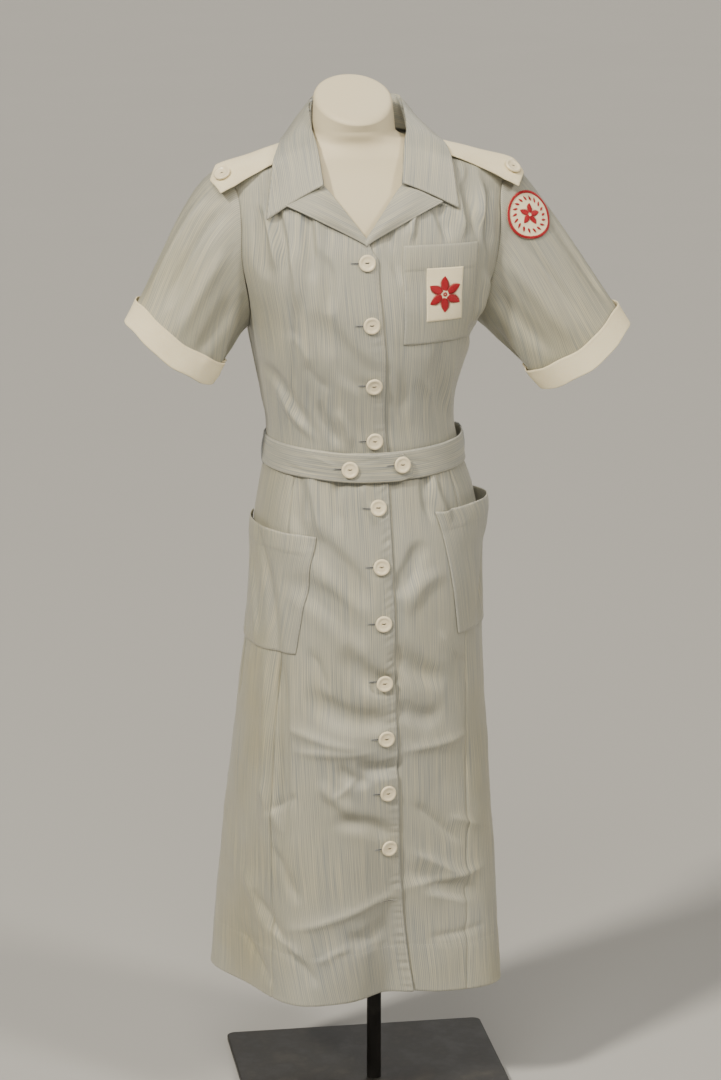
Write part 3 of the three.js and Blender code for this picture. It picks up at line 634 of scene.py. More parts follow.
def shoulder_gathers(angle, z, reach):
    x = reach * np.sin(angle)
    total = 0
    for at, wide, depth, run in GATHERS:
        drop = mix(NECK_Z, SHOULDER_Z, (abs(at) - 74) / 110) - z
        fade = smooth(drop, 4, 24) * (1 - smooth(drop, 0.35 * run, run))
        total = total + depth * fade * hill(x - at, wide)
    return np.where(np.cos(angle) > 0, total, 0)


def crease_field(creases, x, z, pressed=False, scale=1):
    """Sum of soft troughs and ridges with low flanks, or of pressed ones with a sharp line.

    scale turns the first number of each end into millimetres.
    """
    total = np.zeros(np.broadcast(x, z).shape)
    for x0, z0, x1, z1, wide, depth in creases:
        x0, x1 = x0 * scale, x1 * scale
        run_x, run_z = x1 - x0, z1 - z0
        length = math.hypot(run_x, run_z)
        t = ((x - x0) * run_x + (z - z0) * run_z) / length**2
        away = ((x - x0) * run_z - (z - z0) * run_x) / length
        away = away + (0.12 if pressed else 0.35) * wide * np.sin(4.2 * t + x0)
        ends = smooth(t, -0.12, 0.3) * (1 - smooth(t, 0.7, 1.12))
        share = away / wide
        if pressed:
            shape = np.exp(-2.2 * (np.sqrt(share**2 + 0.006) - 0.077))
        else:
            share = share / 0.85
            shape = (1 - 0.55 * share**2) * np.exp(-(share**2))
        total += depth * shape * ends
    return total


def rumple(x, z):
    """Small unevenness of washed cotton."""
    slow = np.sin(x / 19 + 2.1 * np.sin(z / 57)) * np.sin(z / 43 + 1.3 * np.sin(x / 31))
    quick = np.sin(x / 8.3 + z / 29 + 1.7 * np.sin(z / 21)) * np.sin(z / 13 + x / 37)
    return 0.42 * slow + 0.13 * quick


def hem_line(angle):
    return HEM_Z + HEM_DEPTH + 2.2 * np.sin(5 * angle + 0.6) + 1.2 * np.sin(11 * angle)


def cloth_relief(angle, z, reach):
    """Creases and unevenness, which never reach the form under the cloth."""
    share = bpy.context.scene.dress_cloth.crease_share
    x = BODY["middle"](z) + reach * np.sin(angle)
    ahead = smooth(np.cos(angle), 0.0, 0.35)
    round_degrees = np.mod(np.degrees(angle) + 90, 360) - 90
    side = crease_field(SIDE_CREASES, round_degrees * MM_PER_DEGREE, z, scale=MM_PER_DEGREE)
    free = 1 - smooth(z, CLEAR_LOW_Z, CLEAR_HIGH_Z)
    front = crease_field(FRONT_CREASES, x, z) * (SOFT_DEPTH + 0.2 * free)
    pressed = crease_field(PRESSED_CREASES, x, z, True)
    front = (front + (PRESSED_DEPTH + 0.35 * free) * pressed) * ahead
    small = rumple(angle * MEAN_RADIUS, z) * (1 - 0.75 * smooth(z, 1190, 1245))
    line = hem_line(angle)
    hem = 0.55 * (1 - smooth(z, line - 2, line + 2)) - 0.5 * hill(z - line, 2.2)
    belt = -1.6 * hill(z - BELT_Z, 14)
    relief = share * (side * (1 + 0.3 * free) + front + small)
    deepest = DEEPEST * (1 + free)
    return np.where(relief < 0, deepest * np.tanh(relief / deepest), relief) + hem + belt


def reach_of(angle, z, detail=1):
    """Reach of the body: 0 is smooth, 1 has the shoulder gathers, 2 also the creases."""
    plain = plain_reach(angle, z)
    reach = plain + skirt_folds(angle, z)
    if detail > 0:
        reach = reach + shoulder_gathers(angle, z, plain)
    return reach + cloth_relief(angle, z, reach) if detail > 1 else reach


def body_point(angle, z, detail=1):
    reach = reach_of(angle, z, detail)
    return stack(BODY["middle"](z) + reach * np.sin(angle), -reach * np.cos(angle), z)


def normal_of(surface, u, v, du, dv):
    across = surface(u + du, v) - surface(u - du, v)
    up = surface(u, v + dv) - surface(u, v - dv)
    return unit(np.cross(across, up))


def on_body(angle, z, out=0, detail=2):
    angle, z = np.broadcast_arrays(np.asarray(angle, float), np.asarray(z, float))
    normal = normal_of(lambda a, h: body_point(a, h, detail), angle, z, 0.007, 0.5)
    return body_point(angle, z, detail) + normal * np.asarray(out, float)[..., None]


def opening_angle(z):
    z = np.asarray(z, float)
    angle = np.zeros(z.shape)
    for _ in range(6):
        angle = np.arcsin(BODY["opening"](z) / reach_of(angle, z))
    return angle


def step_angle(angle, z, distance):
    return angle + distance / reach_of(angle, z)


def overlap_edge(z):
    return step_angle(opening_angle(z), z, OVERLAP)


def underlap_edge(z):
    return step_angle(opening_angle(z), z, -UNDERLAP)


def front_angle(x, z, detail=1):
    """Angle at which the front of the body has a given x."""
    offset = x - BODY["middle"](z)
    angle = np.arctan2(offset, BODY["front"](z))
    for _ in range(20):
        miss = reach_of(angle, z, detail) * np.sin(angle) - offset
        step = 0.7 * miss / np.maximum(plain_reach(angle, z) * np.cos(angle), 12)
        angle = angle - np.clip(step, -0.15, 0.15)
    return angle


def side_angle(ahead, z):
    """Angle on the left at which the body lies so far ahead of its middle."""
    ahead, z = np.broadcast_arrays(np.asarray(ahead, float), np.asarray(z, float))
    angle = np.full(z.shape, math.pi / 2)
    for _ in range(24):
        angle = np.arccos(np.clip(ahead / reach_of(angle, z), -1, 1))
    return angle


def underlap_sink(angle, z):
    """How far the left front sinks under the right one."""
    past = (angle - overlap_edge(z)) * reach_of(angle, z)
    return -(CLOTH + LIFT + 1.2) * (1 - smooth(past, 2, 22))


def ridge_point(x, y):
    """Point on top of the shoulders."""
    x, y = np.broadcast_arrays(np.asarray(x, float), np.asarray(y, float))
    low = np.full(x.shape, 1120.0)
    high = np.full(x.shape, NECK_Z + 20.0)
    for _ in range(26):
        z = (low + high) / 2
        across = x - BODY["middle"](z)
        inside = reach_of(np.arctan2(across, -y), z, 0) > np.hypot(across, y)
        low, high = np.where(inside, z, low), np.where(inside, high, z)
    return stack(x, y, (low + high) / 2)


def on_ridge(x, y, out):
    normal = normal_of(ridge_point, x, y, 1.0, 1.0)
    return ridge_point(x, y) + normal * np.asarray(out, float)[..., None]


# Finishes


class Finish:
    """One material and the nodes that colour it."""

    def __init__(self, name, **constants):
        self.material = bpy.data.materials.new(name)
        self.material.use_nodes = True
        self.tree = self.material.node_tree
        self.shader = self.tree.nodes["Principled BSDF"]
        for socket, value in constants.items():
            self.shader.inputs[socket.replace("_", " ")].default_value = value

    def put(self, target, value):
        if isinstance(value, bpy.types.NodeSocket):
            self.tree.links.new(value, target)
        else:
            target.default_value = value

    def node(self, kind, *values, **settings):
        made = self.tree.nodes.new(kind)
        for name, value in settings.items():
            setattr(made, name, value)
        for socket, value in zip(made.inputs, values):
            if value is not None:
                self.put(socket, value)
        return made

    def sum(self, operation, *values):
        return self.node("ShaderNodeMath", *values, operation=operation).outputs[0]

    def noise(self, vector, scale, detail=3.0, rough=0.55):
        made = self.node("ShaderNodeTexNoise", vector)
        made.inputs["Scale"].default_value = scale
        made.inputs["Detail"].default_value = detail
        made.inputs["Roughness"].default_value = rough
        return made.outputs["Fac"]

    def spread(self, value, low, high, out_low=0.0, out_high=1.0):
        return self.node("ShaderNodeMapRange", value, low, high, out_low, out_high).outputs[0]

    def blend(self, share, a, b, mode="MIX"):
        made = self.node("ShaderNodeMix", data_type="RGBA", blend_type=mode)
        self.put(made.inputs[0], share)
        self.put(made.inputs[6], a)
        self.put(made.inputs[7], b)
        return made.outputs[2]

    def scaled(self, vector, x, y, z):
        return self.node("ShaderNodeVectorMath", vector, (x, y, z), operation="MULTIPLY").outputs[0]

    def place(self):
        return self.node("ShaderNodeTexCoord").outputs["Object"]

    def grain(self):
        return self.node("ShaderNodeUVMap", uv_map="grain").outputs[0]

    def value_of(self, name):
        return self.node("ShaderNodeAttribute", attribute_name=name).outputs["Fac"]

    def bump(self, height, distance, strength=1.0):
        made = self.node("ShaderNodeBump")
        made.inputs["Strength"].default_value = strength
        made.inputs["Distance"].default_value = distance
        self.put(made.inputs["Height"], height)
        self.put(self.shader.inputs["Normal"], made.outputs[0])

    def surface(self, colour, roughness):
        self.put(self.shader.inputs["Base Color"], colour)
        self.put(self.shader.inputs["Roughness"], roughness)

    def weave(self, grain, pitch):
        """Height of a plain weave, with yarns a pitch apart."""
        parts = self.node("ShaderNodeSeparateXYZ", grain).outputs
        turn = TAU / pitch
        warp = self.sum("SINE", self.sum("MULTIPLY", parts[0], turn))
        weft = self.sum("SINE", self.sum("MULTIPLY", parts[1], turn))
        return self.sum("MULTIPLY", warp, weft)


FINISHES = {}


def rgba(colour):
    return (*colour, 1.0)


def striped_cotton():
    cloth = bpy.context.scene.dress_cloth
    f = Finish("striped_cotton", Sheen_Weight=0.15, Sheen_Roughness=0.45, Specular_IOR_Level=0.9,
               Specular_Tint=(1.0, 0.93, 0.78, 1.0), Coat_Weight=0.25, Coat_Roughness=0.4)
    grain = f.grain()
    parts = f.node("ShaderNodeSeparateXYZ", grain).outputs
    slow = f.noise(f.scaled(grain, 60.0, 3.0, 0.0), 1.0, 2.0)
    shifted = f.sum("ADD", parts[0], f.spread(slow, 0.3, 0.7, -0.0006, 0.0006))
    phase = f.sum("MULTIPLY", shifted, TAU / cloth.stripe_period)
    stripe = f.spread(f.sum("SINE", phase), -1.0, 1.0, 0.3, 0.7)
    yarn = f.noise(f.scaled(grain, 820.0, 8.0, 0.0), 1.0, 3.0, 0.65)
    wide = f.noise(f.scaled(grain, 120.0, 2.5, 0.0), 1.0, 3.0, 0.6)
    stripe = f.sum("ADD", stripe, f.spread(yarn, 0.3, 0.7, -0.5, 0.5))
    stripe = f.sum("ADD", stripe, f.spread(wide, 0.25, 0.75, -0.06, 0.06))
    colour = f.blend(f.spread(stripe, 0.0, 1.0), rgba(cloth.stripe_dark), rgba(cloth.stripe_light))
    old = f.noise(f.place(), 5.5, 4.0)
    age = f.sum("MULTIPLY", f.spread(old, 0.3, 0.72), f.value_of("ageing"))
    colour = f.blend(age, colour, rgba(cloth.age_tint), "MULTIPLY")
    rubbed = f.spread(f.noise(grain, 260.0, 2.0), 0.3, 0.7, 0.0, 0.3)
    worn = f.sum("MULTIPLY", f.value_of("worn"), rubbed)
    colour = f.blend(worn, colour, (0.62, 0.6, 0.54, 1.0))
    f.surface(colour, f.spread(yarn, 0.2, 0.8, 0.36, 0.5))
    height = f.sum("ADD", f.weave(grain, 0.0006), f.spread(yarn, 0.2, 0.8, -0.8, 0.8))
    f.bump(height, 0.00012, 0.5)
    return f.material


def white_cotton():
    cloth = bpy.context.scene.dress_cloth
    f = Finish("white_cotton", Sheen_Weight=0.12, Sheen_Roughness=0.5, Specular_IOR_Level=0.25)
    grain = f.grain()
    old = f.noise(f.place(), 16.0, 4.0)
    slub = f.noise(f.scaled(grain, 160.0, 620.0, 0.0), 1.0, 3.0)
    aged = f.spread(old, 0.42, 0.72, 0.0, 0.45)
    colour = f.blend(aged, rgba(cloth.white_cotton), (0.70, 0.58, 0.34, 1.0))
    colour = f.blend(f.spread(slub, 0.3, 0.7, 0.0, 0.3), colour, (0.9, 0.87, 0.76, 1.0))
    rubbed = f.spread(f.noise(grain, 300.0), 0.35, 0.7, 0.0, 0.4)
    worn = f.sum("MULTIPLY", f.value_of("worn"), rubbed)
    colour = f.blend(worn, colour, (0.62, 0.53, 0.36, 1.0))
    f.surface(colour, f.spread(slub, 0.2, 0.8, 0.76, 0.92))
    height = f.sum("ADD", f.weave(grain, 0.0007), f.spread(slub, 0.2, 0.8, -0.9, 0.9))
    f.bump(height, 0.00014, 0.6)
    return f.material


def thread_finish(name, colour, tint):
    f = Finish(name, Sheen_Weight=0.2, Sheen_Roughness=0.4, Specular_IOR_Level=0.35)
    twist = f.noise(f.place(), 900.0, 2.0)
    colour = f.blend(f.spread(twist, 0.3, 0.7), rgba(colour), rgba(tint))
    f.surface(colour, f.spread(twist, 0.2, 0.8, 0.5, 0.72))
    f.bump(twist, 0.0001, 0.5)
    return f.material


def button_shell():
    trim = bpy.context.scene.dress_trim
    f = Finish("button_shell", Coat_Weight=0.25, Coat_Roughness=0.18, Specular_IOR_Level=0.5)
    place = f.place()
    cloud = f.noise(place, 130.0, 3.0)
    fine = f.noise(f.scaled(place, 900.0, 900.0, 240.0), 1.0, 2.0)
    colour = f.blend(f.spread(cloud, 0.35, 0.7, 0.0, 0.5), rgba(trim.button_colour), (0.72, 0.61, 0.4, 1.0))
    f.surface(colour, f.spread(fine, 0.2, 0.8, 0.28, 0.45))
    f.bump(fine, 0.00006, 0.3)
    return f.material


def slit_shadow():
    # Near black sheet laid in each buttonhole's cut: painted shade, since the cut shows only shadow
    f = Finish("buttonhole_slit", Specular_IOR_Level=0.1)
    deep = f.noise(f.place(), 700.0, 2.0)
    colour = f.blend(deep, (0.03, 0.03, 0.032, 1.0), (0.085, 0.085, 0.09, 1.0))
    f.surface(colour, f.spread(deep, 0.2, 0.8, 0.85, 0.95))
    return f.material


def form_skin():
    stage = bpy.context.scene.dress_stage
    f = Finish("form_skin", Specular_IOR_Level=0.4, Coat_Weight=0.05, Coat_Roughness=0.4)
    place = f.place()
    cloud = f.noise(place, 9.0, 4.0)
    skin = f.noise(place, 420.0, 2.0)
    colour = f.blend(f.spread(cloud, 0.35, 0.7, 0.0, 0.4), rgba(stage.form_colour), (0.66, 0.6, 0.46, 1.0))
    f.surface(colour, f.spread(skin, 0.3, 0.7, 0.48, 0.6))
    f.bump(skin, 0.00008, 0.25)
    return f.material


def stand_metal():
    f = Finish("stand_metal", Metallic=0.0, Specular_IOR_Level=0.5)
    place = f.place()
    rub = f.noise(place, 22.0, 5.0, 0.65)
    fine = f.noise(place, 620.0, 2.0)
    colour = f.blend(f.spread(rub, 0.52, 0.75), (0.016, 0.015, 0.014, 1.0), (0.06, 0.056, 0.05, 1.0))
    f.surface(colour, f.spread(rub, 0.3, 0.75, 0.42, 0.62))
    f.bump(fine, 0.00008, 0.35)
    return f.material


# What makes each finish
MAKERS = {
    "striped": striped_cotton,
    "white": white_cotton,
    "button": button_shell,
    "slit_shade": slit_shadow,
    "form": form_skin,
    "metal": stand_metal,
    # Thread in the button holes: near black, its own colour plus painted shade of the holes
    "dark_thread": lambda: thread_finish("dark_thread", (0.10, 0.095, 0.085), (0.05, 0.048, 0.045)),
    "grey_thread": lambda: thread_finish("grey_thread", (0.36, 0.375, 0.37), (0.24, 0.26, 0.28)),
    "pale_thread": lambda: thread_finish("pale_thread", (0.62, 0.6, 0.53), (0.5, 0.5, 0.47)),
    "cream_thread": lambda: thread_finish("cream_thread", (0.82, 0.76, 0.6), (0.66, 0.58, 0.42)),
    "red_thread": lambda: thread_finish(
        "red_thread", tuple(bpy.context.scene.dress_trim.badge_red), (0.3, 0.006, 0.014)
    ),
}
# The slot of the part that each finish belongs to
SLOTS = {
    "striped": "striped_cotton",
    "white": "white_cotton",
    "button": "button_shell",
    "slit_shade": "striped_cotton",
    "form": "form_skin",
    "metal": "stand_metal",
    "grey_thread": "striped_cotton",
    "dark_thread": "button_shell",
    "pale_thread": "striped_cotton",
    "cream_thread": "white_cotton",
    "red_thread": "badge_cloth",
}


def finish_of(name):
    if name not in FINISHES:
        FINISHES[name] = MAKERS[name]()
    return FINISHES[name]


# Meshes


def link_object(name, data):
    obj = bpy.data.objects.new(name, data)
    bpy.context.scene.collection.objects.link(obj)
    return obj


def mesh_object(name, points, faces, finish):
    mesh = bpy.data.meshes.new(name)
    mesh.from_pydata((points * MM).tolist(), [], faces)
    mesh.materials.append(finish_of(finish))
    mesh.shade_smooth()
    return link_object(name, mesh)


def settle(obj, finish, *nodes, slot=None):
    """A finished piece rides on the part and stands for its nodes."""
    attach(obj, "root")
    slot or SLOTS[finish]
    if nodes:
        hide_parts(*nodes)
    return obj


def looped(grid):
    """A grid with its first column once more at the end."""
    return np.concatenate([grid, grid[:, :1]], axis=1)


def quads_of(grid):
    """The four corners of every cell of a grid."""
    return np.stack([grid[:-1, :-1], grid[:-1, 1:], grid[1:, 1:], grid[1:, :-1]], axis=2)


def tube_faces(rings, sides, start=0):
    """Faces of a tube of rings with a flat face at each end."""
    ids = looped(start + np.arange(rings * sides).reshape(rings, sides))
    ends = [ids[0, :-1][::-1].tolist(), ids[-1, :-1].tolist()]
    return quads_of(ids).reshape(-1, 4).tolist() + ends


def arcs(points, axis):
    steps = np.linalg.norm(np.diff(points, axis=axis), axis=-1)
    zero = np.zeros_like(np.take(steps, [0], axis=axis))
    return np.concatenate([zero, np.cumsum(steps, axis=axis)], axis=axis)


class Sheet:
    """A grid of points on a piece of cloth, rows going up, and the wall made from it."""

    def __init__(self, points, sign=1, closed=False):
        self.points = np.asarray(points, float)
        self.sign = sign
        self.closed = closed
        self.measure()

    def measure(self):
        points = self.points
        if self.closed:
            wide = np.concatenate([points[:, -1:], looped(points)], axis=1)
            across = wide[:, 2:] - wide[:, :-2]
        else:
            across = np.gradient(points, axis=1)
        up = np.gradient(points, axis=0)
        self.normals = unit(np.cross(across, up)) * self.sign
        ring = self.ring(points)
        self.across = arcs(ring, 1)
        self.along = arcs(ring, 0)

    def ring(self, grid):
        return looped(grid) if self.closed else grid

    def away(self, side):
        """Distance of every point from one edge, along the cloth."""
        columns = self.points.shape[1]
        across, along = self.across[:, :columns], self.along[:, :columns]
        if side == "left":
            return across
        if side == "right":
            return across[:, -1:] - across
        if side == "bottom":
            return along
        return along[-1:] - along

    def move(self, out):
        self.points = self.points + self.normals * out[..., None]
        self.measure()
        return self

    def tuck(self, depth, *sides, wide=2.4):
        for side in sides:
            self.move(-depth * hill(self.away(side), wide))
        return self

    def pucker(self, side, inset, height, pitch, wide=6.0):
        """Ripples that sewing draws into the cloth beside an edge."""
        columns = self.points.shape[1]
        line = self.along if side in ("left", "right") else self.across
        place = line[:, :columns] / pitch
        wave = np.sin(TAU * place + 1.3 * np.sin(place * 1.1)) * (0.65 + 0.35 * np.sin(place * 1.7 + 1))
        return self.move(height * wave * hill(self.away(side) - inset, wide))

    def band(self, side, depth, height):
        """A turned hem: the cloth is thicker as far as its stitching."""
        away = self.away(side)
        raised = height * (1 - smooth(away, depth - 1.5, depth + 1.5))
        return self.move(raised - 0.4 * hill(away - depth, 1.6))

    def line(self, side, inset, lift=0.1, start=0.0, stop=1.0):
        """Line on the cloth at a distance from an edge."""
        away = self.away(side)
        points = self.points + self.normals * lift
        if side in ("top", "bottom"):
            away, points = away.T, points.transpose(1, 0, 2)
        if side in ("right", "top"):
            away, points = away[:, ::-1], points[:, ::-1]
        found = np.array(
            [[np.interp(inset, a, row[:, k]) for k in range(3)] for a, row in zip(away, points)]
        )
        if self.closed and side in ("top", "bottom"):
            found = np.concatenate([found, found[:1]])
        length = arcs(found, 0)
        keep = (length >= start * length[-1]) & (length <= stop * length[-1])
        return found[keep]

    def flat_size(self):
        """Width, length and area that the piece is cut to."""
        width = float(self.across[:, -1].max()) * MM
        length = float(self.along[-1].max()) * MM
        ring = self.ring(self.points)
        a, b = ring[1:, 1:] - ring[:-1, :-1], ring[1:, :-1] - ring[:-1, 1:]
        area = float(np.linalg.norm(np.cross(a, b), axis=-1).sum()) / 2 * MM * MM
        if area < 0.45 * width * length:
            width = 2 * area / length
        return width, length, min(area, width * length)

    def outward(self):
        """Way out of the cloth at its open edges."""
        points = self.points
        out = np.zeros_like(points)
        out[0] += unit(points[0] - points[1])
        out[-1] += unit(points[-1] - points[-2])
        if not self.closed:
            out[:, 0] += unit(points[:, 0] - points[:, 1])
            out[:, -1] += unit(points[:, -1] - points[:, -2])
        return unit(out)

    def rims(self):
        """Rows and columns along each open edge, back to where it starts."""
        rows, columns = self.points.shape[:2]
        if self.closed:
            foot = [(0, j) for j in range(columns + 1)]
            head = [(rows - 1, j) for j in range(columns, -1, -1)]
            return [np.array(foot).T, np.array(head).T]
        path = [(0, j) for j in range(columns - 1)] + [(i, columns - 1) for i in range(rows - 1)]
        path += [(rows - 1, j) for j in range(columns - 1, 0, -1)]
        path += [(i, 0) for i in range(rows - 1, -1, -1)]
        return [np.array(path).T]

    def make(
        self,
        node,
        finish,
        thickness=CLOTH,
        turned=False,
        centre=0.0,
        ageing=0.3,
        worn=(),
        stripe=None,
        slot=None,
    ):
        """Closed wall with a rounded rim, in place of a node. turned puts the stripes along the rows.

        stripe gives the cloth's own coordinate across the stripes where the rows do not follow it.
        """
        points = self.points
        rows, columns = points.shape[:2]
        count = rows * columns
        inner = points - self.normals * thickness
        rounded = (points + inner) / 2 + self.outward() * thickness * RIM_ROUND
        ring = self.ring(np.arange(count).reshape(rows, columns))
        across = self.across - self.across[:, -1:] * centre if stripe is None else stripe
        grain = np.stack([across, self.along], axis=-1) * MM
        if turned:
            grain = grain[..., ::-1]
        outside, corner = quads_of(ring), quads_of(grain)
        faces = [outside.reshape(-1, 4), (outside + count)[..., ::-1].reshape(-1, 4)]
        corners = [corner.reshape(-1, 4, 2), corner[:, :, ::-1].reshape(-1, 4, 2)]
        rim_points = []
        start = 2 * count
        for i, j in self.rims():
            loop, uv = ring[i, j], grain[i, j]
            rim = np.append(start + np.arange(len(loop) - 1), start)
            rim_points.append(rounded.reshape(-1, 3)[loop[:-1]])
            start += len(loop) - 1
            faces.append(np.stack([loop[1:], loop[:-1], rim[:-1], rim[1:]], axis=1))
            faces.append(np.stack([rim[1:], rim[:-1], loop[:-1] + count, loop[1:] + count], axis=1))
            strip = np.stack([uv[1:], uv[:-1], uv[:-1], uv[1:]], axis=1)
            corners += [strip, strip]
        faces, corners = np.concatenate(faces), np.concatenate(corners)
        if self.sign < 0:
            faces, corners = faces[:, ::-1], corners[:, ::-1]
        everything = np.concatenate([points.reshape(-1, 3), inner.reshape(-1, 3), *rim_points])
        obj = mesh_object(node + "_cloth", everything, faces.tolist(), finish)
        layer = obj.data.uv_layers.new(name="grain")
        layer.data.foreach_set("uv", corners.astype(np.float32).ravel())
        edge = np.zeros((rows, columns))
        for side in worn:
            edge = np.maximum(edge, np.exp(-self.away(side) / WORN_DEPTH))
        old = np.broadcast_to(np.asarray(ageing, float), (rows, columns))
        self.store(obj, "worn", edge, 1.0 if worn else 0.0)
        self.store(obj, "ageing", old, float(old.mean()))
        return settle(obj, finish, node, slot=slot)

    @staticmethod
    def store(obj, name, values, on_rim):
        """Keeps a value for every point: outside, inside and round the rim."""
        rim = np.full(len(obj.data.vertices) - 2 * values.size, on_rim)
        attribute = obj.data.attributes.new(name, "FLOAT", "POINT")
        everything = np.concatenate([values.ravel(), values.ravel(), rim])
        attribute.data.foreach_set("value", everything.astype(np.float32))


def declare(sheet, with_pieces=()):
    width, length, area = sheet.flat_size()
    flat = (round(width, 3), round(length, 3))
    min(area, flat[0] * flat[1])


# Sewing: every stitch is one edge, and a node tree lays a thread along it


def new_tree(name, sockets):
    tree = bpy.data.node_groups.new(name, "GeometryNodeTree")
    for socket, way, kind in sockets:
        tree.interface.new_socket(name=socket, in_out=way, socket_type=kind)
    return tree


def named_vector(tree, name):
    made = tree.nodes.new("GeometryNodeInputNamedAttribute")
    made.data_type = "FLOAT_VECTOR"
    made.inputs["Name"].default_value = name
    return made.outputs[0]


def give_result(tree, instances, material):
    """Makes instances real, gives them their material and hands them out."""
    real = tree.nodes.new("GeometryNodeRealizeInstances")
    paint = tree.nodes.new("GeometryNodeSetMaterial")
    result = tree.nodes.new("NodeGroupOutput")
    tree.links.new(instances, real.inputs[0])
    tree.links.new(real.outputs[0], paint.inputs["Geometry"])
    tree.links.new(material, paint.inputs["Material"])
    tree.links.new(paint.outputs[0], result.inputs[0])


def thread_tree():
    tree = bpy.data.node_groups.get("sewing_thread")
    if tree:
        return tree
    sockets = (
        ("Stitches", "INPUT", "NodeSocketGeometry"),
        ("Thread width", "INPUT", "NodeSocketFloat"),
        ("Thread", "INPUT", "NodeSocketMaterial"),
        ("Threads", "OUTPUT", "NodeSocketGeometry"),
    )
    tree = new_tree("sewing_thread", sockets)
    add = tree.nodes.new
    link = tree.links.new
    given = add("NodeGroupInput")
    ends = add("GeometryNodeInputMeshEdgeVertices")
    along = add("ShaderNodeVectorMath")
    along.operation = "SUBTRACT"
    link(ends.outputs["Position 2"], along.inputs[0])
    link(ends.outputs["Position 1"], along.inputs[1])
    keep = add("GeometryNodeStoreNamedAttribute")
    keep.data_type = "FLOAT_VECTOR"
    keep.domain = "EDGE"
    keep.inputs["Name"].default_value = "along"
    link(given.outputs["Stitches"], keep.inputs["Geometry"])
    link(along.outputs[0], keep.inputs["Value"])
    middles = add("GeometryNodeMeshToPoints")
    middles.mode = "EDGES"
    link(keep.outputs[0], middles.inputs["Mesh"])
    kept = named_vector(tree, "along")
    turn = add("FunctionNodeAlignRotationToVector")
    turn.axis = "Z"
    link(kept, turn.inputs["Vector"])
    length = add("ShaderNodeVectorMath")
    length.operation = "LENGTH"
    link(kept, length.inputs[0])
    size = add("ShaderNodeCombineXYZ")
    link(given.outputs["Thread width"], size.inputs[0])
    link(given.outputs["Thread width"], size.inputs[1])
    link(length.outputs["Value"], size.inputs[2])
    grain = add("GeometryNodeMeshIcoSphere")
    grain.inputs["Radius"].default_value = 0.5
    grain.inputs["Subdivisions"].default_value = 1
    place = add("GeometryNodeInstanceOnPoints")
    link(middles.outputs[0], place.inputs["Points"])
    link(grain.outputs["Mesh"], place.inputs["Instance"])
    link(turn.outputs[0], place.inputs["Rotation"])
    link(size.outputs[0], place.inputs["Scale"])
    give_result(tree, place.outputs[0], given.outputs["Thread"])
    return tree


def plain_mesh(obj):
    """Turns what an object's modifiers give into its own mesh, and removes them."""
    graph = bpy.context.evaluated_depsgraph_get()
    mesh = bpy.data.meshes.new_from_object(obj.evaluated_get(graph))
    obj.modifiers.clear()
    old = obj.data
    obj.data = mesh
    bpy.data.meshes.remove(old)
    mesh.name = obj.name
    return obj


def give_inputs(modifier, values):
    """Sets a modifier's inputs by the names of its sockets."""
    for item in modifier.node_group.interface.items_tree:
        if item.item_type == "SOCKET" and item.in_out == "INPUT" and item.name in values:
            modifier[item.identifier] = values[item.name]


def sew(name, stitches, finish, width=None, slot=None):
    """One object of threads from pairs of points."""
    pairs = np.asarray(stitches, float).reshape(-1, 2, 3)
    mesh = bpy.data.meshes.new(name)
    edges = np.arange(2 * len(pairs)).reshape(-1, 2)
    mesh.from_pydata((pairs.reshape(-1, 3) * MM).tolist(), edges.tolist(), [])
    obj = link_object(name, mesh)
    modifier = obj.modifiers.new("threads", "NODES")
    modifier.node_group = thread_tree()
    width = width * MM if width else bpy.context.scene.dress_trim.thread_width
    give_inputs(modifier, {"Thread width": width, "Thread": finish_of(finish)})
    plain_mesh(obj)
    obj.data.shade_smooth()
    return settle(obj, finish, slot=slot)


def stitches_on(line, length=None, gap=0.7):
    """Running stitches along a line."""
    length = length or bpy.context.scene.dress_trim.stitch_length / MM
    run = arcs(line, 0)
    starts = np.arange(0.3, max(run[-1] - length, 0.31), length + gap)

    def at(where):
        return np.stack([np.interp(where, run, line[:, k]) for k in range(3)], axis=1)

    return np.stack([at(starts), at(starts + length)], axis=1)


def all_stitches(*lines, **sizes):
    return np.concatenate([stitches_on(line, **sizes) for line in lines])


# The pieces


def ageing_of(angle, z):
    side = smooth(np.abs(np.mod(angle + math.pi, TAU) - math.pi), 0.75, 1.35)
    return 0.28 + 0.5 * side + 0.18 * smooth(-z, -820, -500)


def skirt_panel(start, end, columns, sink=None):
    z = np.linspace(HEM_Z, WAIST_Z, 226)[:, None]
    u = np.linspace(0, 1, columns)[None, :]
    angle = mix(start(z), end(z), u)
    z = np.broadcast_to(z, angle.shape)
    out = sink(angle, z) if sink else np.zeros(angle.shape)
    stripe = arcs(body_point(angle, z, 0), 1)
    return Sheet(on_body(angle, z, out)), ageing_of(angle, z), stripe


def seam(degrees, side):
    """Edge of a panel beside a seam, as an angle for each height."""
    return lambda z: step_angle(np.full(np.shape(z), math.radians(degrees)), z, side * SEAM / 2)


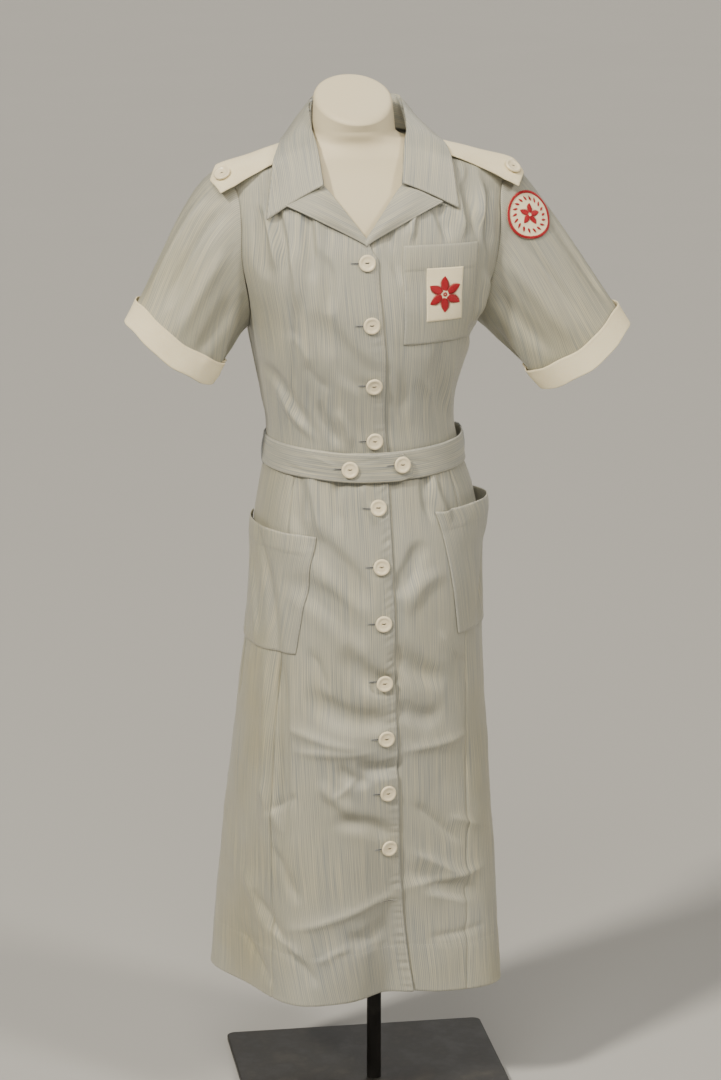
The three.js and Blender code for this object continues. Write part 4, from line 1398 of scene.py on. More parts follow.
class DRESS_OT_skirt(bpy.types.Operator):
    """Make the five gores of the skirt with their hem and front edges"""

    bl_idname = "dress.skirt"
    bl_label = "Skirt"

    def execute(self, context):
        panels = (
            ("skirt_front_right", seam(-GORE_ANGLE, 1), overlap_edge, 84, None, 1.0),
            ("skirt_front_left", underlap_edge, seam(GORE_ANGLE, -1), 76, underlap_sink, 0.0),
            ("skirt_side_right", seam(-BACK_SEAM_ANGLE, 1), seam(-GORE_ANGLE, -1), 56, None, 0.5),
            ("skirt_side_left", seam(GORE_ANGLE, 1), seam(BACK_SEAM_ANGLE, -1), 56, None, 0.5),
            ("skirt_back", seam(BACK_SEAM_ANGLE, 1), seam(360 - BACK_SEAM_ANGLE, -1), 84, None, 0.5),
        )
        hem_lines, edge_lines = [], []
        made = []
        for node, start, end, columns, sink, centre in panels:
            sheet, ageing, stripe = skirt_panel(start, end, columns, sink)
            stripe = stripe - stripe[:, -1:] * centre
            sheet.pucker("bottom", HEM_DEPTH, 0.34, 11.0, 7.0)
            worn = ["bottom"]
            if node == "skirt_front_right":
                sheet.tuck(1.0, "left").pucker("right", 6, 1.1, 10.5, 6.5)
                sheet.band("right", 27, 0.35)
                edge_lines.append(sheet.line("right", 2.6))
                worn.append("right")
            elif node == "skirt_front_left":
                sheet.tuck(1.0, "right")
            else:
                sheet.tuck(1.0, "left", "right")
            hem_lines.append(sheet.line("bottom", HEM_DEPTH, 0.12))
            obj = sheet.make(node, "striped", ageing=ageing, worn=worn, stripe=stripe)
            made.append((obj, sheet))
        hem = sew("hem_stitches", all_stitches(*hem_lines, length=1.8, gap=3.4), "pale_thread")
        edge = sew("skirt_edge_stitches", all_stitches(*edge_lines), "grey_thread")
        for obj, sheet in made:
            extra = [edge, hem] if "front_right" in obj.name else []
            declare(sheet, extra)
        return {"FINISHED"}


ARMHOLE_Z = (ARMPIT_Z + SHOULDER_Z) / 2
ARMHOLE_HALF_HEIGHT = (SHOULDER_Z - ARMPIT_Z) / 2
SIDE_SHARE = 0.3
WAIST_EDGE = WAIST_Z + SEAM / 2


def armhole_depth(z):
    up = np.clip((z - ARMHOLE_Z) / ARMHOLE_HALF_HEIGHT, -1, 1)
    return ARMHOLE_HALF_DEPTH * np.sqrt(1 - up * up)


def front_side(z):
    return side_angle(armhole_depth(z) + SEAM / 2, z)


def back_side(z):
    return side_angle(-armhole_depth(z) - SEAM / 2, z)


def roll_across(z, side):
    """x of the line on which a lapel rolls."""
    z = np.asarray(z, float)
    start = float(opening_angle(BREAK_Z)) + (-0.06 if side > 0 else 0.02)
    foot = float(BODY["middle"](BREAK_Z) + reach_of(start, BREAK_Z) * math.sin(start))
    gorge = COLLAR_MIDDLE + side * ROLL_TOP_ACROSS
    neck = COLLAR_MIDDLE + side * 68
    low = mix(foot, gorge, (z - BREAK_Z) / (ROLL_TOP_Z - BREAK_Z))
    high = mix(gorge, neck, (z - ROLL_TOP_Z) / (NECK_Z - ROLL_TOP_Z))
    return np.where(z < ROLL_TOP_Z, low, high)


def roll_angle(z, side):
    return front_angle(roll_across(z, side), z)


def inner_edge(z, side):
    """Front edge that turns into the roll of the lapel at the break."""
    turn = smooth(z, BREAK_Z - BREAK_TURN, BREAK_Z)
    edge = underlap_edge(z) if side > 0 else overlap_edge(z)
    return mix(edge, roll_angle(np.maximum(z, BREAK_Z), side), turn)


def inner_height(v):
    low = mix(WAIST_EDGE, ARMPIT_Z, v / SIDE_SHARE)
    high = mix(ARMPIT_Z, NECK_Z, (v - SIDE_SHARE) / (1 - SIDE_SHARE))
    return np.where(v < SIDE_SHARE, low, high)


def outer_height(v):
    low = mix(WAIST_EDGE, ARMPIT_Z, v / SIDE_SHARE)
    turn = math.pi * np.clip((v - SIDE_SHARE) / (1 - SIDE_SHARE), 0, 1)
    return np.where(v < SIDE_SHARE, low, ARMHOLE_Z - ARMHOLE_HALF_HEIGHT * np.cos(turn))


def shoulder_seam(t, ahead):
    z = mix(NECK_Z, SHOULDER_Z, t)
    return side_angle(ahead * SEAM / 2, z), z


def patch(v, u, start, end, foot, top):
    """Places (angle, height) inside four edges."""
    v, u = v[:, None], u[None, :]
    places = []
    for k in (0, 1):
        s, e, f, t = start[k][:, None], end[k][:, None], foot[k][None, :], top[k][None, :]
        low, high = mix(f[:, :1], f[:, -1:], u), mix(t[:, :1], t[:, -1:], u)
        places.append(mix(s, e, u) + mix(f, t, v) - mix(low, high, v))
    return places


def girth(angle, z, start):
    """Length of cloth round the body from one angle to another."""
    total = 0
    last = body_point(start + 0 * angle, z)
    for share in np.linspace(0, 1, 25)[1:]:
        point = body_point(mix(start, angle, share), z)
        total = total + np.linalg.norm(point - last, axis=-1)
        last = point
    return total * np.sign(angle - start)


def bodice_rows():
    low = np.linspace(0, SIDE_SHARE, 52)[:-1]
    high = mix(1, SIDE_SHARE, (1 - np.linspace(0, 1, 84)) ** 1.5)
    return np.concatenate([low, high])


def bodice_front(side, sink=None):
    v, u = bodice_rows(), np.linspace(0, 1, 92)
    zi, zo = inner_height(v), outer_height(v)
    foot = mix(inner_edge(np.array([WAIST_EDGE]), side)[0], side * float(front_side(WAIST_EDGE)), u)
    top_angle, top_z = shoulder_seam(u, 1)
    top_angle = side * top_angle
    top_angle[0] = inner_edge(np.array([float(NECK_Z)]), side)[0]
    start, end = (inner_edge(zi, side), zi), (side * front_side(zo), zo)
    angle, z = patch(v, u, start, end, (foot, np.full(u.shape, WAIST_EDGE)), (top_angle, top_z))
    out = sink(angle, z) if sink else np.zeros(z.shape)
    stripe = girth(angle, z, opening_angle(np.minimum(z, BREAK_Z)))
    return Sheet(on_body(angle, z, out), sign=side), ageing_of(angle, z), stripe


def bodice_back():
    v, u = bodice_rows(), np.linspace(0, 1, 104)
    zo = outer_height(v)
    near = np.minimum(u, 1 - u)
    along = np.minimum(near / 0.3, 1)
    angle, z = shoulder_seam(1 - along, -1)
    angle = mix(angle, math.pi, np.clip((near - 0.3) / 0.2, 0, 1))
    top = (np.where(u < 0.5, angle, TAU - angle), z)
    edge = back_side(zo)
    waist = float(back_side(WAIST_EDGE))
    foot = (mix(waist, TAU - waist, u), np.full(u.shape, WAIST_EDGE))
    angle, z = patch(v, u, (edge, zo), (TAU - edge, zo), foot, top)
    return Sheet(on_body(angle, z, np.zeros(z.shape))), ageing_of(angle, z), girth(angle, z, math.pi)


class DRESS_OT_bodice(bpy.types.Operator):
    """Make the two gathered fronts and the back of the bodice"""

    bl_idname = "dress.bodice"
    bl_label = "Bodice"

    def execute(self, context):
        right, right_age, right_stripe = bodice_front(-1)
        left, left_age, left_stripe = bodice_front(1, underlap_sink)
        back, back_age, back_stripe = bodice_back()
        low = BREAK_Z - WAIST_Z
        share = low / (NECK_Z - WAIST_Z)
        fade = 1 - smooth(right.points[..., 2], BREAK_Z - 40, BREAK_Z - 10)
        keep = right.points.copy()
        right.pucker("left", 7, 0.6, 10.5, 7.0)
        right.points = mix(keep, right.points, fade[..., None])
        right.measure()
        edge_line = right.line("left", 2.6, 0.1, 0.0, share * 0.82)
        for sheet in (right, left):
            sheet.tuck(0.3, "right", wide=1.4).pucker("right", 7, 0.3, 14.0, 6.0)
        back.tuck(0.3, "left", "right", wide=1.4)
        pieces = (
            ("bodice_front_right", right, right_age, right_stripe, ("left",)),
            ("bodice_front_left", left, left_age, left_stripe, ()),
            ("bodice_back", back, back_age, back_stripe, ()),
        )
        made = []
        for node, sheet, ageing, stripe, worn in pieces:
            obj = sheet.make(node, "striped", ageing=ageing * 0.7, worn=worn, stripe=stripe)
            made.append((obj, sheet))
        edge = sew("bodice_edge_stitches", all_stitches(edge_line), "grey_thread")
        for obj, sheet in made:
            held = "hung" if "back" in obj.name else "gathered"
            declare(sheet, [edge] if "front_right" in obj.name else [])
        return {"FINISHED"}


def lapel_place(side, w, t, out=0.0):
    """Point of a lapel: w runs from the roll line to the edge, t up the roll line."""
    roll_z = mix(BREAK_Z, ROLL_TOP_Z, t)
    start = roll_across(BREAK_Z, side)
    edge_x = mix(start, COLLAR_MIDDLE + side * LAPEL_TIP_ACROSS, t)
    edge_z = mix(BREAK_Z - 4, LAPEL_TIP_Z, np.maximum(t, 0) ** 0.9)
    over = np.maximum(w, 0)
    x = mix(roll_across(roll_z, side), edge_x, over)
    z = mix(roll_z, edge_z, over)
    calm = 1 - smooth(t, 0.82, 0.96)
    puff = 3 * np.sin(math.pi * over) * np.sin(math.pi * np.clip(t, 0, 1)) * (0.35 + 0.65 * calm)
    curl = 1.2 * smooth(over, 0.7, 1.0) * smooth(t, 0.45, 1.0)
    turn = np.clip(-w, 0, 1)
    bulge = 1.6 * np.sin(math.pi * turn) * calm
    height = (LAPEL_LIFT + CLOTH) * (1 + np.cos(math.pi * turn)) / 2
    stand = 3.0 * smooth(over, 0.0, 0.5) * smooth(t, 0.2, 0.8)
    place = on_body(front_angle(x, z, 0), z, height + stand + puff + curl + out, detail=0)
    place[..., 0] -= side * bulge
    return place


def lapel_sheet(side):
    w = np.concatenate([np.linspace(-1, 0, 9)[:-1], np.linspace(0, 1, 38)])[None, :]
    t = np.linspace(0.03, 0.965, 64)[:, None]
    w, t = np.broadcast_arrays(w, t)
    return Sheet(lapel_place(side, w, t), sign=side)


def catmull(points, w):
    """Centripetal curve through four points, as a share of its length in knots."""
    p0, p1, p2, p3 = points
    points = [2 * p0 - p1, p0, p1, p2, p3, 2 * p3 - p2]
    place = np.clip(w, 0, 1) * 3
    index = np.minimum(np.floor(place), 2).astype(int)
    t = (place - index)[..., None]
    result = np.zeros(np.broadcast(t, p0).shape)
    for k in range(3):
        a, b, c, d = points[k : k + 4]
        before, span, after = [
            np.maximum(np.linalg.norm(q - p, axis=-1, keepdims=True) ** 0.5, 1e-4)
            for p, q in ((a, b), (b, c), (c, d))
        ]
        leave = ((b - a) / before - (c - a) / (before + span) + (c - b) / span) * span
        arrive = ((c - b) / span - (d - b) / (span + after) + (d - c) / after) * span
        curve = hermite(t, b, leave, c, arrive)
        result = np.where((index == k)[..., None], curve, result)
    return result


def collar_sheet():
    s = np.linspace(-1, 1, 190)
    w = np.concatenate([np.linspace(0, 0.45, 26)[:-1], np.linspace(0.45, 1, 30)])
    side = np.where(s < 0, -1.0, 1.0)
    turn = 1 - np.abs(s)
    middle = COLLAR_MIDDLE + COLLAR["shift"](turn)
    foot = stack(middle + side * COLLAR["foot_x"](turn), COLLAR["foot_y"](turn), COLLAR["foot_z"](turn))
    roll = stack(middle + side * COLLAR["roll_x"](turn), COLLAR["roll_y"](turn), COLLAR["roll_z"](turn))
    rise = mix(RIGHT_TIP_RISE, 0, np.clip(turn / 0.3, 0, 1))
    deep = COLLAR["edge_y"](turn) + np.where(s < 0, rise, 0)
    edge = on_ridge(middle + side * COLLAR["edge_x"](turn), deep, COLLAR["edge_z"](turn))
    swell = mix(roll, edge, 0.45)
    swell[:, 2] += mix(2, 5, smooth(turn, 0, 0.4))
    lines = [line[None] for line in (foot, roll, swell, edge)]
    sheet = Sheet(catmull(lines, np.broadcast_to(w[:, None], (len(w), len(s)))), sign=-1)
    near = 0.55 * np.sin(s * 23 + 0.7) * np.sin(s * 9)
    sheet.move(smooth(w, 0.5, 1.0)[:, None] * near[None, :] + COLLAR_CLOTH / 2)
    return sheet


class DRESS_OT_collar(bpy.types.Operator):
    """Make the collar and the two lapels that roll out of the fronts"""

    bl_idname = "dress.collar"
    bl_label = "Collar and lapels"

    def execute(self, context):
        lines = []
        made = []
        for name, side in (("right", -1), ("left", 1)):
            sheet = lapel_sheet(side)
            sheet.pucker("right", 5, 0.22, 8.0, 4.0)
            lines.append(sheet.line("right", 4.5, 0.1, 0.05, 0.97))
            lines.append(sheet.line("top", 4.5, 0.1, 0.25, 0.95))
            worn = ("right", "top")
            obj = sheet.make(f"lapel_{name}", "striped", centre=1.0, ageing=0.2, worn=worn)
            made.append((obj, sheet))
        sheet = collar_sheet()
        sheet.pucker("top", 5, 0.25, 9.0, 4.0)
        lines.append(sheet.line("top", 5.0, 0.1, 0.012, 0.988))
        lines.append(sheet.line("left", 5.0, 0.1, 0.42, 0.96))
        lines.append(sheet.line("right", 5.0, 0.1, 0.42, 0.96))
        worn = ("top", "left", "right")
        obj = sheet.make("collar", "striped", COLLAR_CLOTH, turned=True, ageing=0.2, worn=worn)
        made.append((obj, sheet))
        threads = sew("collar_stitches", all_stitches(*lines), "grey_thread")
        for obj, sheet in made:
            extra = [threads] if obj.name == "collar_cloth" else []
            declare(sheet, extra)
        return {"FINISHED"}


def armhole_point(turn, side):
    z = ARMHOLE_Z + np.cos(turn) * ARMHOLE_HALF_HEIGHT
    ahead = np.sin(turn) * ARMHOLE_HALF_DEPTH
    angle = side_angle(ahead, z)
    across = reach_of(angle, z) * np.sin(angle) + 0.1
    return stack(BODY["middle"](z) + side * across, -ahead, z)


def sleeve_point(name, turn, t):
    side, out, forward, z, tilt, half, depth, swell = SLEEVES[name]
    turn, t = np.asarray(turn, float), np.asarray(t, float)
    start = armhole_point(turn, side)
    lift, ahead = np.cos(turn) * half, np.sin(turn) * np.abs(np.sin(turn)) ** 0.3 * depth
    tilt = math.radians(tilt)
    x = float(BODY["middle"](ARMHOLE_Z)) + side * (out + lift * math.sin(tilt))
    end = stack(x, -forward - 0.95 * ahead, z + lift * math.cos(tilt) - SLEEVE_DROOP * ahead)
    high = (1 + np.cos(turn)) / 2
    reach = np.linalg.norm(end - start, axis=-1)[..., None]
    leave = stack(side * mix(0.75, 1.05, high), -0.1, mix(-0.55, -0.38, high)) * swell
    arrive = np.array([side * 0.6, -0.2, -0.78])
    return hermite(t[..., None], start, leave * reach, end, arrive * reach)


def on_sleeve(name, turn, t, out=0.0):
    side = SLEEVES[name][0]
    share = bpy.context.scene.dress_cloth.crease_share
    turn, t = np.asarray(turn, float), np.asarray(t, float)
    normal = side * normal_of(
        lambda a, b: sleeve_point(name, a, b), turn, np.maximum(t, 0.02), 0.02, 0.01
    )
    around = np.mod(turn, TAU)
    relief = np.zeros(np.broadcast(turn, t).shape)
    for u0, t0, u1, t1, wide, depth in SLEEVE_CREASES[name]:
        along = (t - t0) / (t1 - t0)
        away = np.mod(around - mix(u0, u1, along) + math.pi, TAU) - math.pi
        away = away / wide + 0.3 * np.sin(3 * along + u0)
        ends = smooth(along, -0.1, 0.35) * (1 - smooth(along, 0.65, 1.1))
        relief += depth * (1 - 0.55 * away**2) * np.exp(-(away**2)) * ends
    relief += rumple(np.sin(around) * 60 + np.cos(around) * 41, t * 150) * 1.1
    relief *= share * smooth(t, 0.0, 0.12) * (1 - smooth(t, 0.72, 0.9))
    return sleeve_point(name, turn, t) + normal * (relief + out)[..., None]


def sleeve_slant(name, turn):
    """Length that the sleeve's end would have if all of it ran like its last fifth."""
    last = sleeve_point(name, turn, 1.0) - sleeve_point(name, turn, 0.8)
    return np.linalg.norm(last, axis=-1) / 0.2


class DRESS_OT_sleeves(bpy.types.Operator):
    """Make both sleeves and their white turned-back cuffs"""

    bl_idname = "dress.sleeves"
    bl_label = "Sleeves and cuffs"

    def execute(self, context):
        turn = np.linspace(0, TAU, 150, endpoint=False)[None, :]
        lines = []
        made = []
        for name, values in SLEEVES.items():
            side = values[0]
            t = np.linspace(0, 1, 92)[:, None]
            sheet = Sheet(on_sleeve(name, turn, t), sign=side, closed=True)
            sheet.tuck(0.2, "bottom", wide=1.4).pucker("bottom", 9, 0.4, 15.0, 7.0)
            ageing = np.broadcast_to(0.42 + 0.2 * smooth(t, 0.3, 1.0), sheet.points.shape[:2])
            obj = sheet.make(f"sleeve_{name}", "striped", ageing=ageing)
            made.append((obj, sheet, "hung"))
            cuff = self.cuff(name, turn, side)
            lines.append(cuff.line("top", 3.0, 0.12))
            obj = cuff.make(f"cuff_{name}", "white", worn=("top",))
            made.append((obj, cuff, "folded"))
        threads = sew("cuff_stitches", all_stitches(*lines), "cream_thread")
        for obj, sheet, held in made:
            extra = [threads] if obj.name == "cuff_right_cloth" else []
            declare(sheet, extra)
        return {"FINISHED"}

    @staticmethod
    def cuff(name, turn, side):
        """From inside the sleeve, round its end and up the outside."""
        slant = sleeve_slant(name, turn)
        inside = np.linspace(1, 0, 7)[:-1]
        bend = np.linspace(0, math.pi, 9)
        outside = np.linspace(0, 1, 15)[1:]
        rows = []
        low, high = -CLOTH - LIFT, LIFT + CLOTH
        for v in inside:
            rows.append((1.0 - v * CUFF_TURN_IN / slant, low))
        edge = 1.005 + (0.9 * np.sin(5 * turn + 1) + 0.6 * np.sin(9 * turn)) / slant
        for a in bend:
            rows.append((edge + 1.2 * math.sin(a) / slant, mix(low, high, (1 - math.cos(a)) / 2)))
        for v in outside:
            wave = 0.6 * np.sin(3 * turn + 1) + 0.5 * np.sin(7 * turn)
            rows.append((edge - v * CUFF_WIDTH / slant, high + 2.4 * v + wave * v))
        t = np.concatenate([np.broadcast_to(row[0], turn.shape) for row in rows])
        out = np.concatenate([np.broadcast_to(row[1], turn.shape) for row in rows])
        return Sheet(on_sleeve(name, turn, t, out), sign=-side, closed=True)


def hip_place(name):
    side, in_top, in_low, around, top, rise, tall, gape = HIP_POCKETS[name]
    u, v = np.linspace(0, 1, 62)[None, :], np.linspace(0, 1, 66)[:, None]
    angle = side * np.radians(mix(in_low, in_top, v) + u * around)
    z = top - tall + v * (tall + rise * u)
    stand = gape * smooth(v, 0.55, 1) * np.sin(math.pi * u**1.4)
    return Sheet(on_body(angle, z, 1.1 + CLOTH + stand), sign=side), ageing_of(angle, z)


def chest_gape(u, v):
    return 2.5 * smooth(v, 0.6, 1) * np.sin(math.pi * u)


def chest_place():
    u, v = np.linspace(0, 1, 46)[None, :], np.linspace(0, 1, 56)[:, None]
    low, high = mix(CHEST_LOW[0], CHEST_LOW[1], u), mix(CHEST_TOP[0], CHEST_TOP[1], u)
    z = mix(CHEST_LOW[2], CHEST_TOP[2], v) + 0 * u
    angle = front_angle(BODY["middle"](z) + mix(low, high, v), z)
    return Sheet(on_body(angle, z, LIFT + CLOTH + chest_gape(u, v)))


class DRESS_OT_pockets(bpy.types.Operator):
    """Make the chest pocket and the two hip pockets"""

    bl_idname = "dress.pockets"
    bl_label = "Pockets"

    def execute(self, context):
        lines = []
        made = []
        for name in HIP_POCKETS:
            sheet, ageing = hip_place(name)
            self.finish_edges(sheet, HIP_BAND, lines)
            obj = sheet.make(f"pocket_hip_{name}", "striped", ageing=ageing, worn=ALL_SIDES)
            made.append((obj, sheet, "skirt_side_" + name))
        sheet = chest_place()
        self.finish_edges(sheet, CHEST_BAND, lines)
        obj = sheet.make("pocket_chest", "striped", ageing=0.35, worn=ALL_SIDES)
        made.append((obj, sheet, "bodice_front_left"))
        threads = sew("pocket_stitches", all_stitches(*lines), "grey_thread")
        for obj, sheet, under in made:
            declare(sheet, [threads] if obj.name == "pocket_chest_cloth" else [])
        return {"FINISHED"}

    @staticmethod
    def finish_edges(sheet, band, lines):
        sewn = ("left", "right", "bottom")
        for side in sewn:
            sheet.pucker(side, 3, 0.28, 9.0, 4.0)
        sheet.band("top", band, 0.5)
        sheet.tuck(0.55, *sewn, wide=1.8)
        for side in sewn:
            lines.append(sheet.line(side, 2.4, 0.1, 0.012, 0.988))
        lines.append(sheet.line("top", band, 0.12, 0.02, 0.98))


BELT_MIDDLE = float(BODY["middle"](BELT_Z)) + 1


def belt_point(angle, up, out):
    reach = oval_reach(angle, BELT_HALF, BELT_FRONT, BELT_BACK, 2.2) + out - BELT_SPLAY * up
    z = BELT_Z - 1 + up + BELT_RISE * np.sin(angle) ** 2
    return stack(BELT_MIDDLE + reach * np.sin(angle), -reach * np.cos(angle), z)


def belt_angle(x):
    return math.atan2(x - BELT_MIDDLE, BELT_FRONT)


def belt_lap(degrees):
    """How far the end of the belt lies over its start."""
    return (BELT_CLOTH + LIFT) * smooth(degrees, 318, 340)


def belt_sheet():
    degrees = np.linspace(BELT_START, BELT_END, 470)[None, :]
    v = np.linspace(0, 1, 19)[:, None]
    point = smooth(degrees, BELT_END - 8, BELT_END) * 0.75
    up = (v - 0.5) * BELT_WIDTH * (1 - np.where(v > 0.5, 1, 0.2) * point)
    up, degrees = np.broadcast_arrays(up, degrees)
    relief = crease_field(BELT_CREASES, degrees * 2, up, scale=2)
    relief = relief + 0.25 * np.sin(degrees / 5 + up / 9) * np.sin(up / 6 + degrees / 17)
    points = belt_point(np.radians(degrees), up, BELT_CLOTH + belt_lap(degrees) + relief)
    return Sheet(points)


def rope(path, radius, twist, strands, sides=7):
    """Twisted cord along a path: points and faces of its strands."""
    points, faces = [], []
    along = unit(np.gradient(path, axis=0))
    first = unit(np.cross(along, [0.0, 0.0, 1.0] + 0.01 * along))
    second = np.cross(along, first)
    run = arcs(path, 0)
    thick = radius * 0.55
    around = TAU * np.arange(sides) / sides
    for strand in range(strands):
        turn = TAU * (run / twist + strand / strands)
        line = path + thick * (np.cos(turn)[:, None] * first + np.sin(turn)[:, None] * second)
        ring = line[:, None] + thick * (
            np.cos(around)[:, None] * first[:, None] + np.sin(around)[:, None] * second[:, None]
        )
        points.append(ring.reshape(-1, 3))
        faces += tube_faces(len(line), sides, strand * len(line) * sides)
    return np.concatenate(points), faces


class DRESS_OT_belt(bpy.types.Operator):
    """Make the belt that laps over itself and the thread loops that hold it"""

    bl_idname = "dress.belt"
    bl_label = "Belt and loops"

    def execute(self, context):
        sheet = belt_sheet()
        sheet.pucker("top", 4, 0.2, 8.0, 3.0).pucker("bottom", 4, 0.2, 8.0, 3.0)
        lines = [sheet.line(side, 3.4, 0.1) for side in ("top", "bottom")]
        lines.append(sheet.line("right", 3.4, 0.1, 0.12, 0.88))
        worn = ("top", "bottom", "right")
        obj = sheet.make("belt", "striped", BELT_CLOTH, turned=True, ageing=0.22, worn=worn)
        threads = sew("belt_stitches", all_stitches(*lines), "grey_thread")
        declare(sheet, [threads])
        for name, degrees in (("right", 270), ("left", 90)):
            v = np.linspace(-1, 1, 60)
            bow = (1 - v**2) ** 0.35
            out = mix(-5.0, BELT_CLOTH + 1.6, np.clip(bow, 0, 1))
            path = belt_point(np.full(v.shape, math.radians(degrees)), v * LOOP_TALL / 2, out)
            points, faces = rope(path, 1.25, 6.0, 3)
            loop = mesh_object(f"belt_loop_{name}_cord", points, faces, "grey_thread")
            settle(loop, "striped", f"belt_loop_{name}")
        return {"FINISHED"}


def strap_surface(side):
    """Top of a shoulder, carried on past the sleeve seam."""
    middle = float(BODY["middle"](SHOULDER_Z))

    def surface(across, ahead):
        across, ahead = np.broadcast_arrays(np.asarray(across, float), np.asarray(ahead, float))
        x = middle + side * np.minimum(across, STRAP_SEAM)
        past = np.maximum(across - STRAP_SEAM, 0)

        def top(at):
            share = (np.abs(at - middle) - STRAP_NEAR) / (STRAP_SEAM - STRAP_NEAR)
            fall = (STRAP_FALL_NEAR + STRAP_FALL_FAR * share**2) * (ahead / STRAP_AHEAD) ** 2
            return ridge_point(at, 0 * ahead)[..., 2] - fall

        slope = (top(x) - top(x - side * 8)) / 8
        drop = np.maximum(slope, -0.42) * past - 0.004 * past * past
        return stack(x + side * past, -ahead, top(x) + drop)

    return surface


def on_strap(side, across, ahead, out):
    surface = strap_surface(side)
    normal = normal_of(surface, across, ahead, 1.0, 1.0)
    normal = normal * np.sign(normal[..., 2:])
    out = np.asarray(out) + STRAP_LIFT + STRAP_THICK
    return surface(across, ahead) + normal * out[..., None]


class DRESS_OT_straps(bpy.types.Operator):
    """Make the white shoulder straps"""

    bl_idname = "dress.straps"
    bl_label = "Shoulder straps"

    def execute(self, context):
        u, v = np.linspace(0, 1, 62)[None, :], np.linspace(0, 1, 30)[:, None]
        lines = []
        made = []
        for name, side in (("right", -1), ("left", 1)):
            far = mix(STRAP_FAR, STRAP_TIP, 1 - np.abs(2 * v - 1))
            across = mix(STRAP_NEAR, far, u)
            ahead = mix(STRAP_BEHIND, STRAP_AHEAD, v) + 0 * u
            wave = 0.35 * np.sin(across / 9 + v * 3) * np.sin(v * 6 + 1)
            sheet = Sheet(on_strap(side, across, ahead, wave), sign=-side)
            sheet.pucker("top", 4, 0.2, 8.0, 3.0)
            worn = ("top", "bottom", "right")
            lines += [sheet.line(edge, 3.2, 0.12, 0.02, 0.98) for edge in worn]
            obj = sheet.make(f"epaulette_{name}", "white", STRAP_THICK, turned=True, worn=worn)
            made.append((obj, sheet, name))
        threads = sew("strap_stitches", all_stitches(*lines), "cream_thread")
        for obj, sheet, name in made:
            extra = [threads] if name == "right" else []
            declare(sheet, extra)
        return {"FINISHED"}


# Badges: plain white cloth with embroidered flowers


def petal(centre, turn, length, wide, pitch):
    """Satin stitches across one petal, in the badge's own plane."""
    along = np.array([math.cos(turn), math.sin(turn)])
    across = np.array([-along[1], along[0]])
    pairs = []
    for s in np.arange(0.06, 1.0, pitch / length):
        half = wide / 2 * math.sin(math.pi * s**0.8) ** 0.75
        middle = np.asarray(centre) + along * length * s
        lean = along * half * 0.25
        pairs.append((middle - across * half - lean, middle + across * half + lean))
    return pairs


def flower(centre, count, inner, length, wide, pitch, start):
    pairs = []
    for k in range(count):
        turn = start + TAU * k / count
        foot = np.asarray(centre) + inner * np.array([math.cos(turn), math.sin(turn)])
        pairs += petal(foot, turn, length, wide, pitch)
    return pairs


def ring_of(radius, wide, count, start=0.0):
    pairs = []
    for k in range(count):
        turn = start + TAU * k / count
        out = np.array([math.cos(turn), math.sin(turn)])
        skew = 0.35 * wide * np.array([-out[1], out[0]])
        pairs.append((out * (radius - wide / 2) - skew, out * (radius + wide / 2) + skew))
    return pairs


